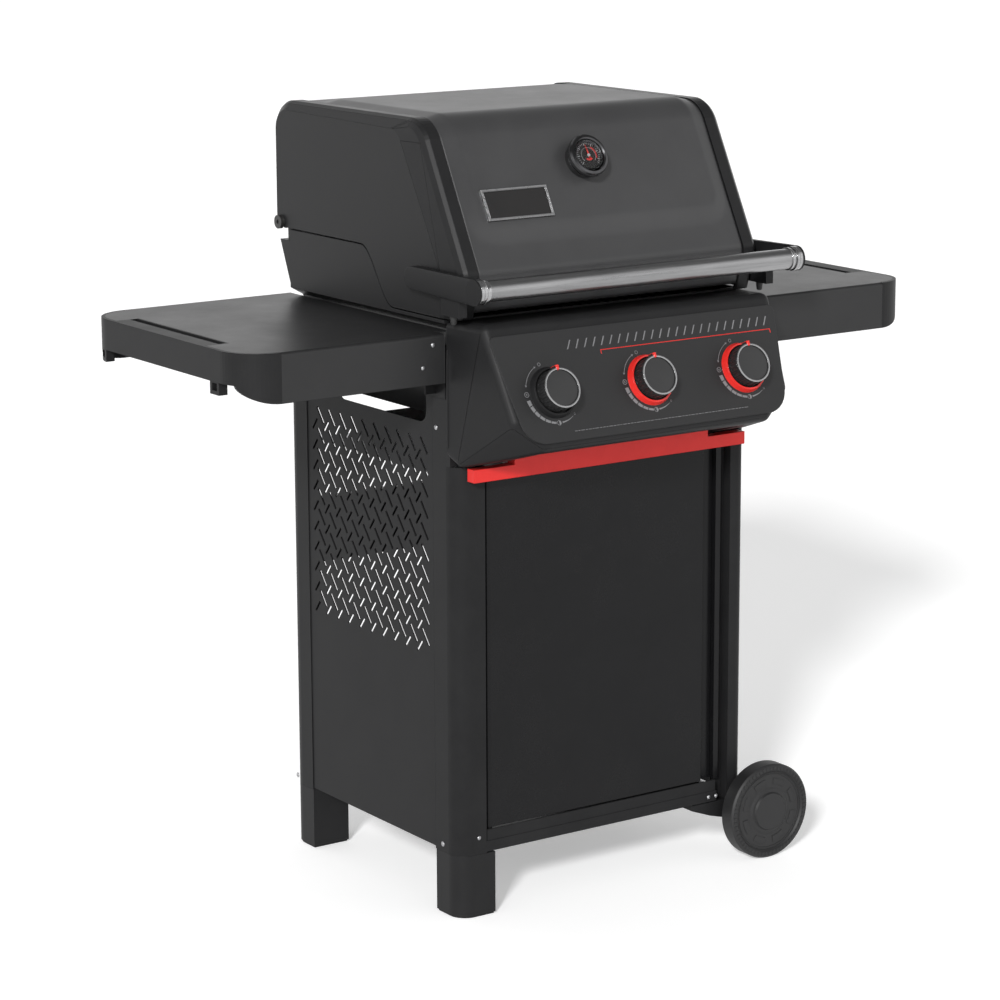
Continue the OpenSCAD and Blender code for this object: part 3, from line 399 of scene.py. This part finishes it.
def knobPrint(side):
    joint = recordJoints[side + "_knob_turn"]
    marks = Form(seat(joint["pos_m"], joint["axis"]))
    m = knobMarks
    r = m["radius"]
    top = m["lift"]

    def ringAt(degrees, inner, outer, steps=20, start=0, end=359.9):
        at = math.radians(degrees)
        spot = Matrix.Translation(Vector((r * math.cos(at), r * math.sin(at), 0)))
        marks.arc(inner, outer, start, end, printFoot, top, steps, 1.0, spot)

    # off mark, a small open circle near the top
    ringAt(m["offAt"], 2.0, 2.9)
    # lighting range, a thin line with a tip at both ends
    marks.arc(r - m["lineHalf"], r + m["lineHalf"], m["lightFrom"], m["lightTo"], printFoot, top)
    for turn, point in ((m["lightFrom"], -1), (m["lightTo"], 1)):
        tip = math.radians(turn + point * m["tipTurn"])
        a = math.radians(turn)
        far = r + m["tipHalf"]
        near = r - m["tipHalf"]
        marks.slab([(r * math.cos(tip), r * math.sin(tip)), (far * math.cos(a), far * math.sin(a)),
                    (near * math.cos(a), near * math.sin(a))], printFoot, top)
    # full setting at the left
    ringAt(m["fullAt"], 3.1, 4.2)
    ringAt(m["fullAt"], 0.5, 1.5, 14)
    # thick bar in segments thinning towards the bottom
    for k in range(m["bars"]):
        start = m["barFrom"] + k * m["barStep"]
        thick = m["barHalf"] - m["barThin"] * k
        marks.arc(r - thick, r + thick, start, start + m["barRun"], printFoot, top, 8,
                  m["barTaper"])
    # half setting, a half filled circle
    ringAt(m["lowAt"], 3.0, 3.9)
    ringAt(m["lowAt"], 0.3, 3.1, 10, -90, 90)
    marks.arc(r - m["tailHalf"], r + m["tailHalf"], m["tailFrom"], m["tailTo"], printFoot, top, 14,
              m["tailTaper"])
    ringAt(m["endAt"], 1.0, 1.8, 16)
    marks.piece("marks_" + side, "printGrey", "cart", "grey_enamel")


panelPrint()
for side in ("left", "middle", "right"):
    knobPrint(side)


# knob trim
knobTrim = {"ringInner": 27.6, "ringOuter": 31.0, "ringTop": 28.35, "ringLow": 27.3,
            "pointerTop": 28.9, "pointerHub": 30.2, "ribs": 24, "ribInner": 31.2,
            "ribOuter": 31.95, "ribHalf": 1.3, "ribLow": 9.0, "ribHigh": 25.5,
            "ribChamfer": 0.25}


def knobTrimmings(side):
    joint = recordJoints[side + "_knob_turn"]
    place = seat(joint["pos_m"], joint["axis"])
    body = side + "_turn"
    ring = Form(place)
    inner = knobTrim["ringInner"]
    outer = knobTrim["ringOuter"]
    low = knobTrim["ringLow"]
    high = knobTrim["ringTop"]
    ring.turned([(inner, low), (inner + 0.3, 28.1), (inner + 0.9, high), (outer - 0.9, high),
                 (outer - 0.1, 28.0), (outer - 0.1, low)], 96)
    ring.piece("knob_ring_" + side, "ringSilver", body, "tube_steel")
    dish = Form(place)
    dish.turned([(0, 26.4), (0, 27.35), (16, 27.2), (24, 26.98), (27.2, 26.86), (27.3, 26.4)], 72)
    dish.piece("knob_face_" + side, "knobPlastic", body, "knob_plastic")
    pointer = Form(place)
    stem = [(-1.5, 27.6), (1.5, 27.6), (2.3, 32.0), (2.3, 35.2), (-2.3, 35.2), (-2.3, 32.0)]
    pointer.slab(stem, 14.0, knobTrim["pointerTop"], None, 0.5)
    pointer.turned([(0, 27.0), (0, 29.3), (1.6, 29.1), (2.7, 28.5), (3.1, 27.9), (3.1, 27.0)], 24,
                   Matrix.Translation(Vector((0, knobTrim["pointerHub"], 0))))
    pointer.piece("knob_pointer_" + side, "redPlastic", body, "red_plastic")
    # thin grip ribs between the flutes
    ribs = Form(place)
    rib = rectangle(knobTrim["ribInner"], knobTrim["ribOuter"], -knobTrim["ribHalf"],
                    knobTrim["ribHalf"])
    for k in range(knobTrim["ribs"]):
        turn = Matrix.Rotation(math.radians(360 / knobTrim["ribs"] * k), 4, "Z")
        ribs.slab(rib, knobTrim["ribLow"], knobTrim["ribHigh"], turn, knobTrim["ribChamfer"])
    ribs.piece("knob_ribs_" + side, "knobPlastic", body, "knob_plastic")


for side in ("left", "middle", "right"):
    knobTrimmings(side)
print("control panel dressed")


# lid shroud
shroudShape = {"inset": 2.0, "raise": 4.0, "bevel": 27.0, "corner": 46.0, "thick": 2.4,
               "crownR": 57.0, "crownY": -120.0, "crownZ": 1174.0, "noseR": 25.0, "noseBack": 2.0,
               "noseZ": 1005.0, "rearR": 46.0, "rearZ": 1184.0, "rearOver": 22.0, "lipOut": 5.0,
               "lipFoot": 938.0, "lipZ": 950.0, "backZ": 1032.5, "panelLow": 1044.0,
               "panelBack": 203.0, "overTop": 1150.0, "sideFlat": 1.0, "softness": 0.12,
               "columns": 150}


def shroudProfile():
    # outline in (Y, Z) from the front lip over the top to the back, from the cart's middle
    s = shroudShape
    half = (postBack.y - postLow.y) * 500
    lidBack = half + s["rearOver"]
    g = s["inset"]
    nose = (-half + s["noseBack"], s["noseZ"], s["noseR"] - g)
    crown = (s["crownY"], s["crownZ"], s["crownR"] - g)
    rear = (lidBack - s["rearR"], s["rearZ"], s["rearR"] - g)
    points = []

    def straight(a, b, step=6.0):
        count = max(1, int(math.dist(a, b) / step))
        for k in range(count):
            points.append((a[0] + (b[0] - a[0]) * k / count, a[1] + (b[1] - a[1]) * k / count))

    def bend(circleAt, first, last, steps):
        for k in range(steps):
            turn = math.radians(first + (last - first) * k / steps)
            points.append((circleAt[0] + circleAt[2] * math.cos(turn),
                           circleAt[1] + circleAt[2] * math.sin(turn)))

    def on(circleAt, degrees):
        turn = math.radians(degrees)
        return (circleAt[0] + circleAt[2] * math.cos(turn),
                circleAt[1] + circleAt[2] * math.sin(turn))

    run = math.dist(nose[:2], crown[:2])
    rise = math.degrees(math.atan2(crown[1] - nose[1], crown[0] - nose[0]))
    side = rise + 90 + math.degrees(math.asin((crown[2] - nose[2]) / run))
    runTop = math.dist(crown[:2], rear[:2])
    fall = math.degrees(math.atan2(rear[1] - crown[1], rear[0] - crown[0]))
    over = fall + 90 - math.degrees(math.asin((crown[2] - rear[2]) / runTop))
    # front lip up to the nose
    lip = (-half - s["lipOut"] + g, s["lipFoot"])
    toNose = math.degrees(math.atan2(lip[1] - nose[1], lip[0] - nose[0]))
    reach = math.dist(lip, nose[:2])
    first = toNose - math.degrees(math.acos(nose[2] / reach)) + 360
    start = on(nose, first)
    share = (s["lipZ"] - lip[1]) / (start[1] - lip[1])
    straight((lip[0] + (start[0] - lip[0]) * share, s["lipZ"]), start)
    bend(nose, first, side, 10)
    straight(on(nose, side), on(crown, side))
    bend(crown, side, over, 18)
    straight(on(crown, over), on(rear, over), 9.0)
    bend(rear, over, 0, 16)
    straight(on(rear, 0), (lidBack - g, s["backZ"]), 9.0)
    points.append((lidBack - g, s["backZ"]))
    return points


def makeShroud():
    s = shroudShape
    profile = shroudProfile()
    low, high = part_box("lid_shroud")
    halfWidth = (high.x - low.x) * 500
    lengths = [0.0]
    for a, b in zip(profile, profile[1:]):
        lengths.append(lengths[-1] + math.dist(a, b))
    normals = []
    for i in range(len(profile)):
        a = profile[max(i - 1, 0)]
        b = profile[min(i + 1, len(profile) - 1)]
        away = math.dist(a, b)
        normals.append(((a[1] - b[1]) / away, (b[0] - a[0]) / away))
    # where the raised panel starts and ends along the outline
    panelStart = next(lengths[i] for i, p in enumerate(profile) if p[1] > s["panelLow"])
    panelEnd = max(lengths[i] for i, p in enumerate(profile)
                   if p[0] < s["panelBack"] and p[1] > s["overTop"])
    middle = (panelStart + panelEnd) / 2
    span = (panelEnd - panelStart) / 2
    flat = halfWidth - s["sideFlat"]
    xs = [-halfWidth + 2 * halfWidth * k / s["columns"] for k in range(s["columns"] + 1)]
    points = []
    for (y, z), (ny, nz), at in zip(profile, normals, lengths):
        for x in xs:
            # distance inside a rounded rectangle
            dx = abs(x) - (flat - s["corner"])
            ds = abs(at - middle) - (span - s["corner"])
            outside = math.hypot(max(dx, 0), max(ds, 0)) + min(max(dx, ds), 0)
            inside = s["corner"] - outside
            share = min(max(inside / s["bevel"], 0.0), 1.0)
            soft = s["softness"]
            if share < soft:
                share = share * share / (2 * soft)
            elif share > 1 - soft:
                share = 1 - soft - (1 - share) ** 2 / (2 * soft)
            else:
                share = share - soft / 2
            lift = share / (1 - soft) * (s["raise"] + s["inset"])
            points.append((x / 1000, cartMiddle + (y + ny * lift) / 1000, (z + nz * lift) / 1000))
    wide = len(xs)
    faces = []
    for r in range(len(profile) - 1):
        for c in range(wide - 1):
            a = r * wide + c
            faces.append((a, a + 1, a + wide + 1, a + wide))
    mesh = bpy.data.meshes.new("shroud_skin")
    mesh.from_pydata(points, [], faces)
    mesh.update()
    for polygon in mesh.polygons:
        polygon.use_smooth = True
    mesh.materials.append(finishes["shroudGrey"])
    skin = bpy.data.objects.new("shroud_skin", mesh)
    bpy.context.scene.collection.objects.link(skin)
    wall = skin.modifiers.new("wall", "SOLIDIFY")
    wall.thickness = s["thick"] / 1000
    wall.offset = -1.0
    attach(skin, "lid")
    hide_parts("lid_shroud")


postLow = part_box("post_front_left")[0]
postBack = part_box("post_back_left")[1]
cartMiddle = (postLow.y + postBack.y) / 2
makeShroud()
print("shroud made")


# thermometer and badge
badgeSize = {"width": 120.0, "height": 50.0, "thick": 4.0, "field": (56.0, 21.0),
             "fieldRound": 2.0, "rim": 2.4, "rimGap": 0.1, "rimChamfer": 0.35}
low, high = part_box("badge_plate")
spanY = (high.y - low.y) * 1000
spanZ = (high.z - low.z) * 1000
badgeSum = (spanY + spanZ) / (badgeSize["height"] + badgeSize["thick"])
badgeDiff = (spanZ - spanY) / (badgeSize["height"] - badgeSize["thick"])
lean = math.atan2((badgeSum + badgeDiff) / 2, (badgeSum - badgeDiff) / 2)
lidNormal = Vector((0, -math.sin(lean), math.cos(lean)))
badgePlace = seat((low + high) / 2 - lidNormal * badgeSize["thick"] / 2000, lidNormal)
low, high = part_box("thermometer_dial")
dialPlace = seat((low + high) / 2 + lidNormal * 0.00075, lidNormal)   # top of the dial disc


def badgeTrim():
    field = Form(badgePlace)
    x, y = badgeSize["field"]
    field.slab(roundedRectangle(-x, x, -y, y, badgeSize["fieldRound"]), 2.5, 3.1, None, 0.2)
    field.piece("badge_field", "dialBlack", "lid", "dark_plastic")
    rim = Form(badgePlace)
    x = badgeSize["width"] / 2
    y = badgeSize["height"] / 2
    w = badgeSize["rim"]
    gap = badgeSize["rimGap"]
    for x0, x1, y0, y1 in ((-x, x, y - w, y), (-x, x, -y, w - y), (-x, w - x, w - y, y - w),
                           (x - w, x, w - y, y - w)):
        rim.slab(rectangle(x0 + gap, x1 - gap, y0 + gap, y1 - gap), 3.5, 4.4, None,
                 badgeSize["rimChamfer"])
    rim.piece("badge_rim", "ringSilver", "lid", "tube_steel")


dial = {"tickFrom": 222.0, "tickTo": -42.0, "ticks": 27, "tickEvery": 4, "outer": 20.6,
        "longTick": (4.2, 0.5), "shortTick": (2.4, 0.28), "print": 0.2, "zonePrint": 0.18,
        "needle": 97.0, "needleHeight": (1.2, 1.7)}


def thermometerFace():
    ticks = Form(dialPlace)
    for k in range(dial["ticks"]):
        share = k / (dial["ticks"] - 1)
        turn = Matrix.Rotation(
            math.radians(dial["tickFrom"] + (dial["tickTo"] - dial["tickFrom"]) * share), 4, "Z")
        long, wide = dial["longTick"] if k % dial["tickEvery"] == 0 else dial["shortTick"]
        ticks.slab(rectangle(dial["outer"] - long, dial["outer"], -wide, wide), printFoot,
                   dial["print"], turn)
    ticks.arc(12.6, 13.0, dial["tickFrom"], dial["tickTo"], printFoot, dial["print"], 48)
    ticks.piece("dial_ticks", "printPale", "lid", "dark_plastic")
    zone = Form(dialPlace)
    zone.arc(13.6, 15.6, 60, -20, printFoot, dial["zonePrint"], 30)
    zone.arc(5.5, 8.5, 225, 315, printFoot, dial["zonePrint"], 20)
    zone.piece("dial_zone", "printRed", "lid", "red_plastic")
    needle = Form(dialPlace)
    turn = Matrix.Rotation(math.radians(dial["needle"]), 4, "Z")
    low, high = dial["needleHeight"]
    needle.slab([(-5, -1.2), (0, -1.6), (17.5, -0.3), (17.5, 0.3), (0, 1.6), (-5, 1.2)], low, high,
                turn, 0.15)
    needle.piece("dial_needle", "printRed", "lid", "red_plastic")
    hub = Form(dialPlace)
    hub.turned([(0, 0.2), (0, 2.5), (1.4, 2.4), (2.2, 1.9), (2.4, 1.2), (2.4, 0.2)], 28)
    hub.piece("dial_hub", "printPale", "lid", "dark_plastic")
    inner = Form(dialPlace)
    inner.turned([(21.2, 0.0), (22.4, 1.8), (24.2, 2.6), (24.2, 0.0)], 72)
    inner.piece("dial_chapter", "gunMetal", "lid", "bezel_chrome")
    glass = Form(dialPlace)
    glass.turned([(0, 3.2), (0, 4.2), (10, 4.1), (20, 3.8), (24.4, 3.5), (24.4, 2.9), (20, 3.0)],
                 72)
    glass.piece("dial_glass", "clearGlass", "lid", "bezel_chrome")
    skirt = Form(dialPlace)
    skirt.turned([(26.1, -21.0), (29.0, -21.0), (29.0, -13.6), (31.4, -9.6), (26.1, -9.6)], 72)
    skirt.turned([(33.2, -4.0), (34.3, -3.4), (34.3, 1.2), (33.2, 1.8)], 96)
    skirt.piece("dial_skirt", "knobPlastic", "lid", "dark_plastic")


badgeTrim()
thermometerFace()
print("thermometer and badge dressed")


# handle and lid trim
handleTrim = {"groove": 0.5, "bumperIn": 0.004, "bumperBack": 0.0935}
low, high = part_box("handle_tube")
gripMid = (low + high) / 2
gripHalf = (high.x - low.x) * 500
gripRadius = (high.z - low.z) * 500


def handleRings():
    for side, sign in (("left", -1), ("right", 1)):
        place = seat(gripMid + Vector((sign * gripHalf / 1000, 0, 0)), Vector((sign, 0, 0)),
                     Vector((0, 1, 0)))
        ring = Form(place)
        g = handleTrim["groove"]
        r = gripRadius
        ring.turned([(r - 3, -11.2), (r - 0.6, -11.2), (r, -10.4), (r, -6.6), (r - g, -6.2),
                     (r - g, -5.4), (r, -5.0), (r, -1.0), (r - 0.8, -0.1), (r - 3, -0.1)], 72)
        ring.turned([(15.5, -19.0), (17.0, -19.0), (17.8, -18.4), (17.8, -13.0), (17.0, -12.0),
                     (15.5, -12.0)], 72)
        ring.piece("handle_ring_" + side, "chrome", "lid", "bezel_chrome")


def lidBumpers():
    for side in ("left", "right"):
        low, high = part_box("handle_arm_" + side)
        sign = -1 if side == "left" else 1
        x = (low.x + high.x) / 2 - sign * handleTrim["bumperIn"]
        y = low.y + handleTrim["bumperBack"]
        pin = Form(seat(Vector((x, y, low.z)), Vector((0, 0, -1))))
        pin.turned([(0, -1), (0, 13.0), (3.2, 13.0), (4.4, 11.5), (5.4, 1.0), (6.6, 0.0),
                    (6.6, -1)], 32)
        pin.piece("lid_bumper_" + side, "rubber", "lid", "dark_plastic")


handleRings()
lidBumpers()
print("lid trim made")


# screws
# on the sides: in from the front or back edge, height, radius; in front: in from a side, height
screws = {"leftFront": ((0.046, 0.113, 4.2), (0.056, 0.77, 4.0)),
          "leftBack": ((0.015, 0.114, 4.2), (0.05, 0.77, 4.0)),
          "rightFront": (0.046, 0.125), "rightBack": (0.05, 0.125), "rightRadius": 4.2,
          "frontLeft": (0.037, 0.128), "frontRight": ((0.067, 0.111), (0.052, 0.111)),
          "frontRadius": 3.4, "table": ((309, 905), (327, 872)), "tableRadius": 3.6}


def screwAt(form, shift, radius):
    form.turned([(0, -0.3), (0, 1.5), (radius * 0.5, 1.4), (radius * 0.85, 0.8), (radius, 0.1),
                 (radius, -0.3)], 24, shift)
    # cross recess shown by a raised thin cross lip
    for turn in (0, 90):
        form.slab(rectangle(-radius * 0.5, radius * 0.5, -0.45, 0.45), 1.2, 1.65,
                  shift @ Matrix.Rotation(math.radians(turn + 20), 4, "Z"), 0.1)


def cartScrews():
    low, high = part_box("post_front_left")
    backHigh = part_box("post_back_left")[1]
    left = Form(seat(Vector((low.x, 0, 0)), Vector((-1, 0, 0)), Vector((0, -1, 0))))
    # on the left face: X runs to the front, Y up
    for front, back in zip(screws["leftFront"], screws["leftBack"]):
        for y, z, r in ((low.y + front[0], *front[1:]), (backHigh.y - back[0], *back[1:])):
            screwAt(left, Matrix.Translation(Vector((-y * 1000, z * 1000, 0))), r)
    left.piece("screws_left_side", "zinc", "cart", "zinc_steel")
    rightLow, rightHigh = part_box("post_front_right")
    right = Form(seat(Vector((rightHigh.x, 0, 0)), Vector((1, 0, 0)), Vector((0, 1, 0))))
    for y, z in ((rightLow.y + screws["rightFront"][0], screws["rightFront"][1]),
                 (backHigh.y - screws["rightBack"][0], screws["rightBack"][1])):
        screwAt(right, Matrix.Translation(Vector((y * 1000, z * 1000, 0))), screws["rightRadius"])
    right.piece("screws_right_side", "zinc", "cart", "zinc_steel")
    front = Form(seat(Vector((0, low.y, 0)), Vector((0, -1, 0))))
    places = [(low.x + screws["frontLeft"][0], screws["frontLeft"][1])]
    places += [(rightHigh.x - x, z) for x, z in screws["frontRight"]]
    for x, z in places:
        screwAt(front, Matrix.Translation(Vector((x * 1000, z * 1000, 0))), screws["frontRadius"])
    front.piece("screws_front", "zinc", "cart", "zinc_steel")


def tableScrews():
    for side, sign in (("left", -1), ("right", 1)):
        low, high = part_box("table_top_" + side)
        skirt = Form(seat(Vector((0, low.y, 0)), Vector((0, -1, 0))))
        for x, z in screws["table"]:
            screwAt(skirt, Matrix.Translation(Vector((sign * x, z, 0))), screws["tableRadius"])
        skirt.piece("screws_table_" + side, "zinc", "cart", "zinc_steel")


cartScrews()
tableScrews()
print("screws made")


# wheels
wheelTrim = {"marks": 8, "markInner": 45.0, "markOuter": 55.0, "markFrom": 9, "markTo": 36,
             "rootLevel": -5.2, "markLevel": -4.3, "treads": 60, "treadOut": 4.2,
             "treadIn": 9.5, "treadHalf": 1.6, "treadLevels": (-2.4, -1.2)}


def wheelTrimmings():
    for side, sign in (("front", -1), ("back", 1)):
        low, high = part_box("wheel_" + side)
        middle = (low + high) / 2
        radius = (high.z - low.z) * 500
        face = low.y if sign < 0 else high.y
        place = seat(Vector((middle.x, face, middle.z)), Vector((0, sign, 0)))
        ring = Form(place)
        # low dish inside the hub
        ring.turned([(0, -1.2), (0, -0.75), (9, -0.7), (20, -0.3), (26, -0.05), (29.2, -0.15),
                     (30.4, -0.9), (30.4, -3.0), (29.8, -3.2)], 72)
        # narrow steps on the flat and on the rim
        root = wheelTrim["rootLevel"]
        ring.turned([(36.6, root), (36.9, -4.4), (38.4, -4.4), (38.7, root)], 96)
        ring.turned([(60.4, root), (60.9, -4.2), (62.6, -4.2), (63.1, root)], 96)
        for k in range(wheelTrim["marks"]):
            start = 360 / wheelTrim["marks"] * k
            ring.arc(wheelTrim["markInner"], wheelTrim["markOuter"], start + wheelTrim["markFrom"],
                     start + wheelTrim["markTo"], root, wheelTrim["markLevel"], 10)
        tread = rectangle(radius - wheelTrim["treadIn"], radius - wheelTrim["treadOut"],
                          -wheelTrim["treadHalf"], wheelTrim["treadHalf"])
        for k in range(wheelTrim["treads"]):
            turn = Matrix.Rotation(2 * math.pi * k / wheelTrim["treads"], 4, "Z")
            ring.slab(tread, *wheelTrim["treadLevels"], turn, 0.3)
        ring.piece("wheel_relief_" + side, "wheelPlastic", side + "_wheel", "dark_plastic")


wheelTrimmings()
print("wheels dressed")


# camera, floor and light
shot = {"yaw": -34.4793, "pitch": 12.4712, "roll": -0.2358, "lens": 116.473,
        "x": -2.9111, "fromMiddle": -4.1979, "z": 1.7173}


def makeCamera():
    yaw = math.radians(shot["yaw"])
    pitch = math.radians(shot["pitch"])
    roll = math.radians(shot["roll"])
    ahead = Vector((-math.sin(yaw) * math.cos(pitch), math.cos(yaw) * math.cos(pitch),
                    -math.sin(pitch)))
    right = ahead.cross(Vector((0, 0, 1))).normalized()
    up = right.cross(ahead)
    rightTurned = right * math.cos(roll) + up * math.sin(roll)
    upTurned = -right * math.sin(roll) + up * math.cos(roll)
    data = bpy.data.cameras.new("studio_camera")
    data.lens = shot["lens"]
    data.sensor_width = 36.0
    data.clip_end = 300.0
    camera = bpy.data.objects.new("studio_camera", data)
    matrix = Matrix((rightTurned, upTurned, -ahead)).transposed().to_4x4()
    matrix.translation = Vector((shot["x"], cartMiddle + shot["fromMiddle"], shot["z"]))
    camera.matrix_world = matrix
    bpy.context.scene.collection.objects.link(camera)
    bpy.context.scene.camera = camera


ground = {"half": 90.0, "glow": 0.31, "level": -0.0005}


def makeFloor():
    half = ground["half"]
    z = ground["level"]
    mesh = bpy.data.meshes.new("studio_floor")
    mesh.from_pydata([(-half, -half, z), (half, -half, z), (half, half, z), (-half, half, z)], [],
                     [(0, 1, 2, 3)])
    floor = bpy.data.objects.new("studio_floor", mesh)
    bpy.context.scene.collection.objects.link(floor)
    finish = coat("floorPale", {"dark": (0.86, 0.86, 0.86), "light": (0.88, 0.88, 0.88),
                                "rough": (0.85, 0.95), "gloss": 0.1, "bump": 0.0, "cloud": 0.6})
    shader = finish.node_tree.nodes["Principled BSDF"]
    shader.inputs["Emission Color"].default_value = (1.0, 1.0, 1.0, 1.0)
    shader.inputs["Emission Strength"].default_value = ground["glow"]
    mesh.materials.append(finish)


lamps = {
    "sun": {"kind": "SUN", "power": 3.0, "at": (-4.41, -4.02, 3.75), "size": 0.14},
    "key": {"kind": "AREA", "power": 1.5, "at": (-3.6, -2.2, 3.8), "size": 2.2},
    "front": {"kind": "AREA", "power": 8.0, "at": (1.6, -4.6, 3.4), "size": 2.0},
    "right": {"kind": "AREA", "power": 4.0, "at": (2.6, -2.6, 3.2), "size": 1.4},
    "top": {"kind": "AREA", "power": 10.0, "at": (-0.4, 1.8, 3.6), "size": 2.2},
}
sky = {"strength": 1.35, "bright": 0.3, "dim": 0.6, "zenith": 0.17}


def makeLights():
    target = Vector((0, 0, 0.75))
    for name, lamp in lamps.items():
        data = bpy.data.lights.new("lamp_" + name, lamp["kind"])
        data.energy = lamp["power"]
        if lamp["kind"] == "SUN":
            data.angle = lamp["size"]
        else:
            data.size = lamp["size"]
        obj = bpy.data.objects.new("lamp_" + name, data)
        obj.location = lamp["at"]
        obj.rotation_euler = (target - Vector(lamp["at"])).to_track_quat("-Z", "Y").to_euler()
        bpy.context.scene.collection.objects.link(obj)
    world = bpy.data.worlds.new("studio_air")
    bpy.context.scene.world = world
    world.use_nodes = True
    tree = world.node_tree
    shade = tree.nodes["Background"]
    shade.inputs["Strength"].default_value = sky["strength"]
    # bright low band and a dimmer zenith
    coords = tree.nodes.new("ShaderNodeTexCoord")
    split = tree.nodes.new("ShaderNodeSeparateXYZ")
    ramp = tree.nodes.new("ShaderNodeValToRGB")
    ramp.color_ramp.elements[0].position = sky["bright"]
    ramp.color_ramp.elements[0].color = (1.0, 1.0, 1.0, 1.0)
    ramp.color_ramp.elements[1].position = sky["dim"]
    ramp.color_ramp.elements[1].color = (*([sky["zenith"]] * 3), 1.0)
    tree.links.new(coords.outputs["Generated"], split.inputs["Vector"])
    tree.links.new(split.outputs["Z"], ramp.inputs["Fac"])
    tree.links.new(ramp.outputs["Color"], shade.inputs["Color"])
    bpy.context.scene.view_settings.view_transform = "Standard"


makeCamera()
makeFloor()
makeLights()
print("camera, floor and lights set")
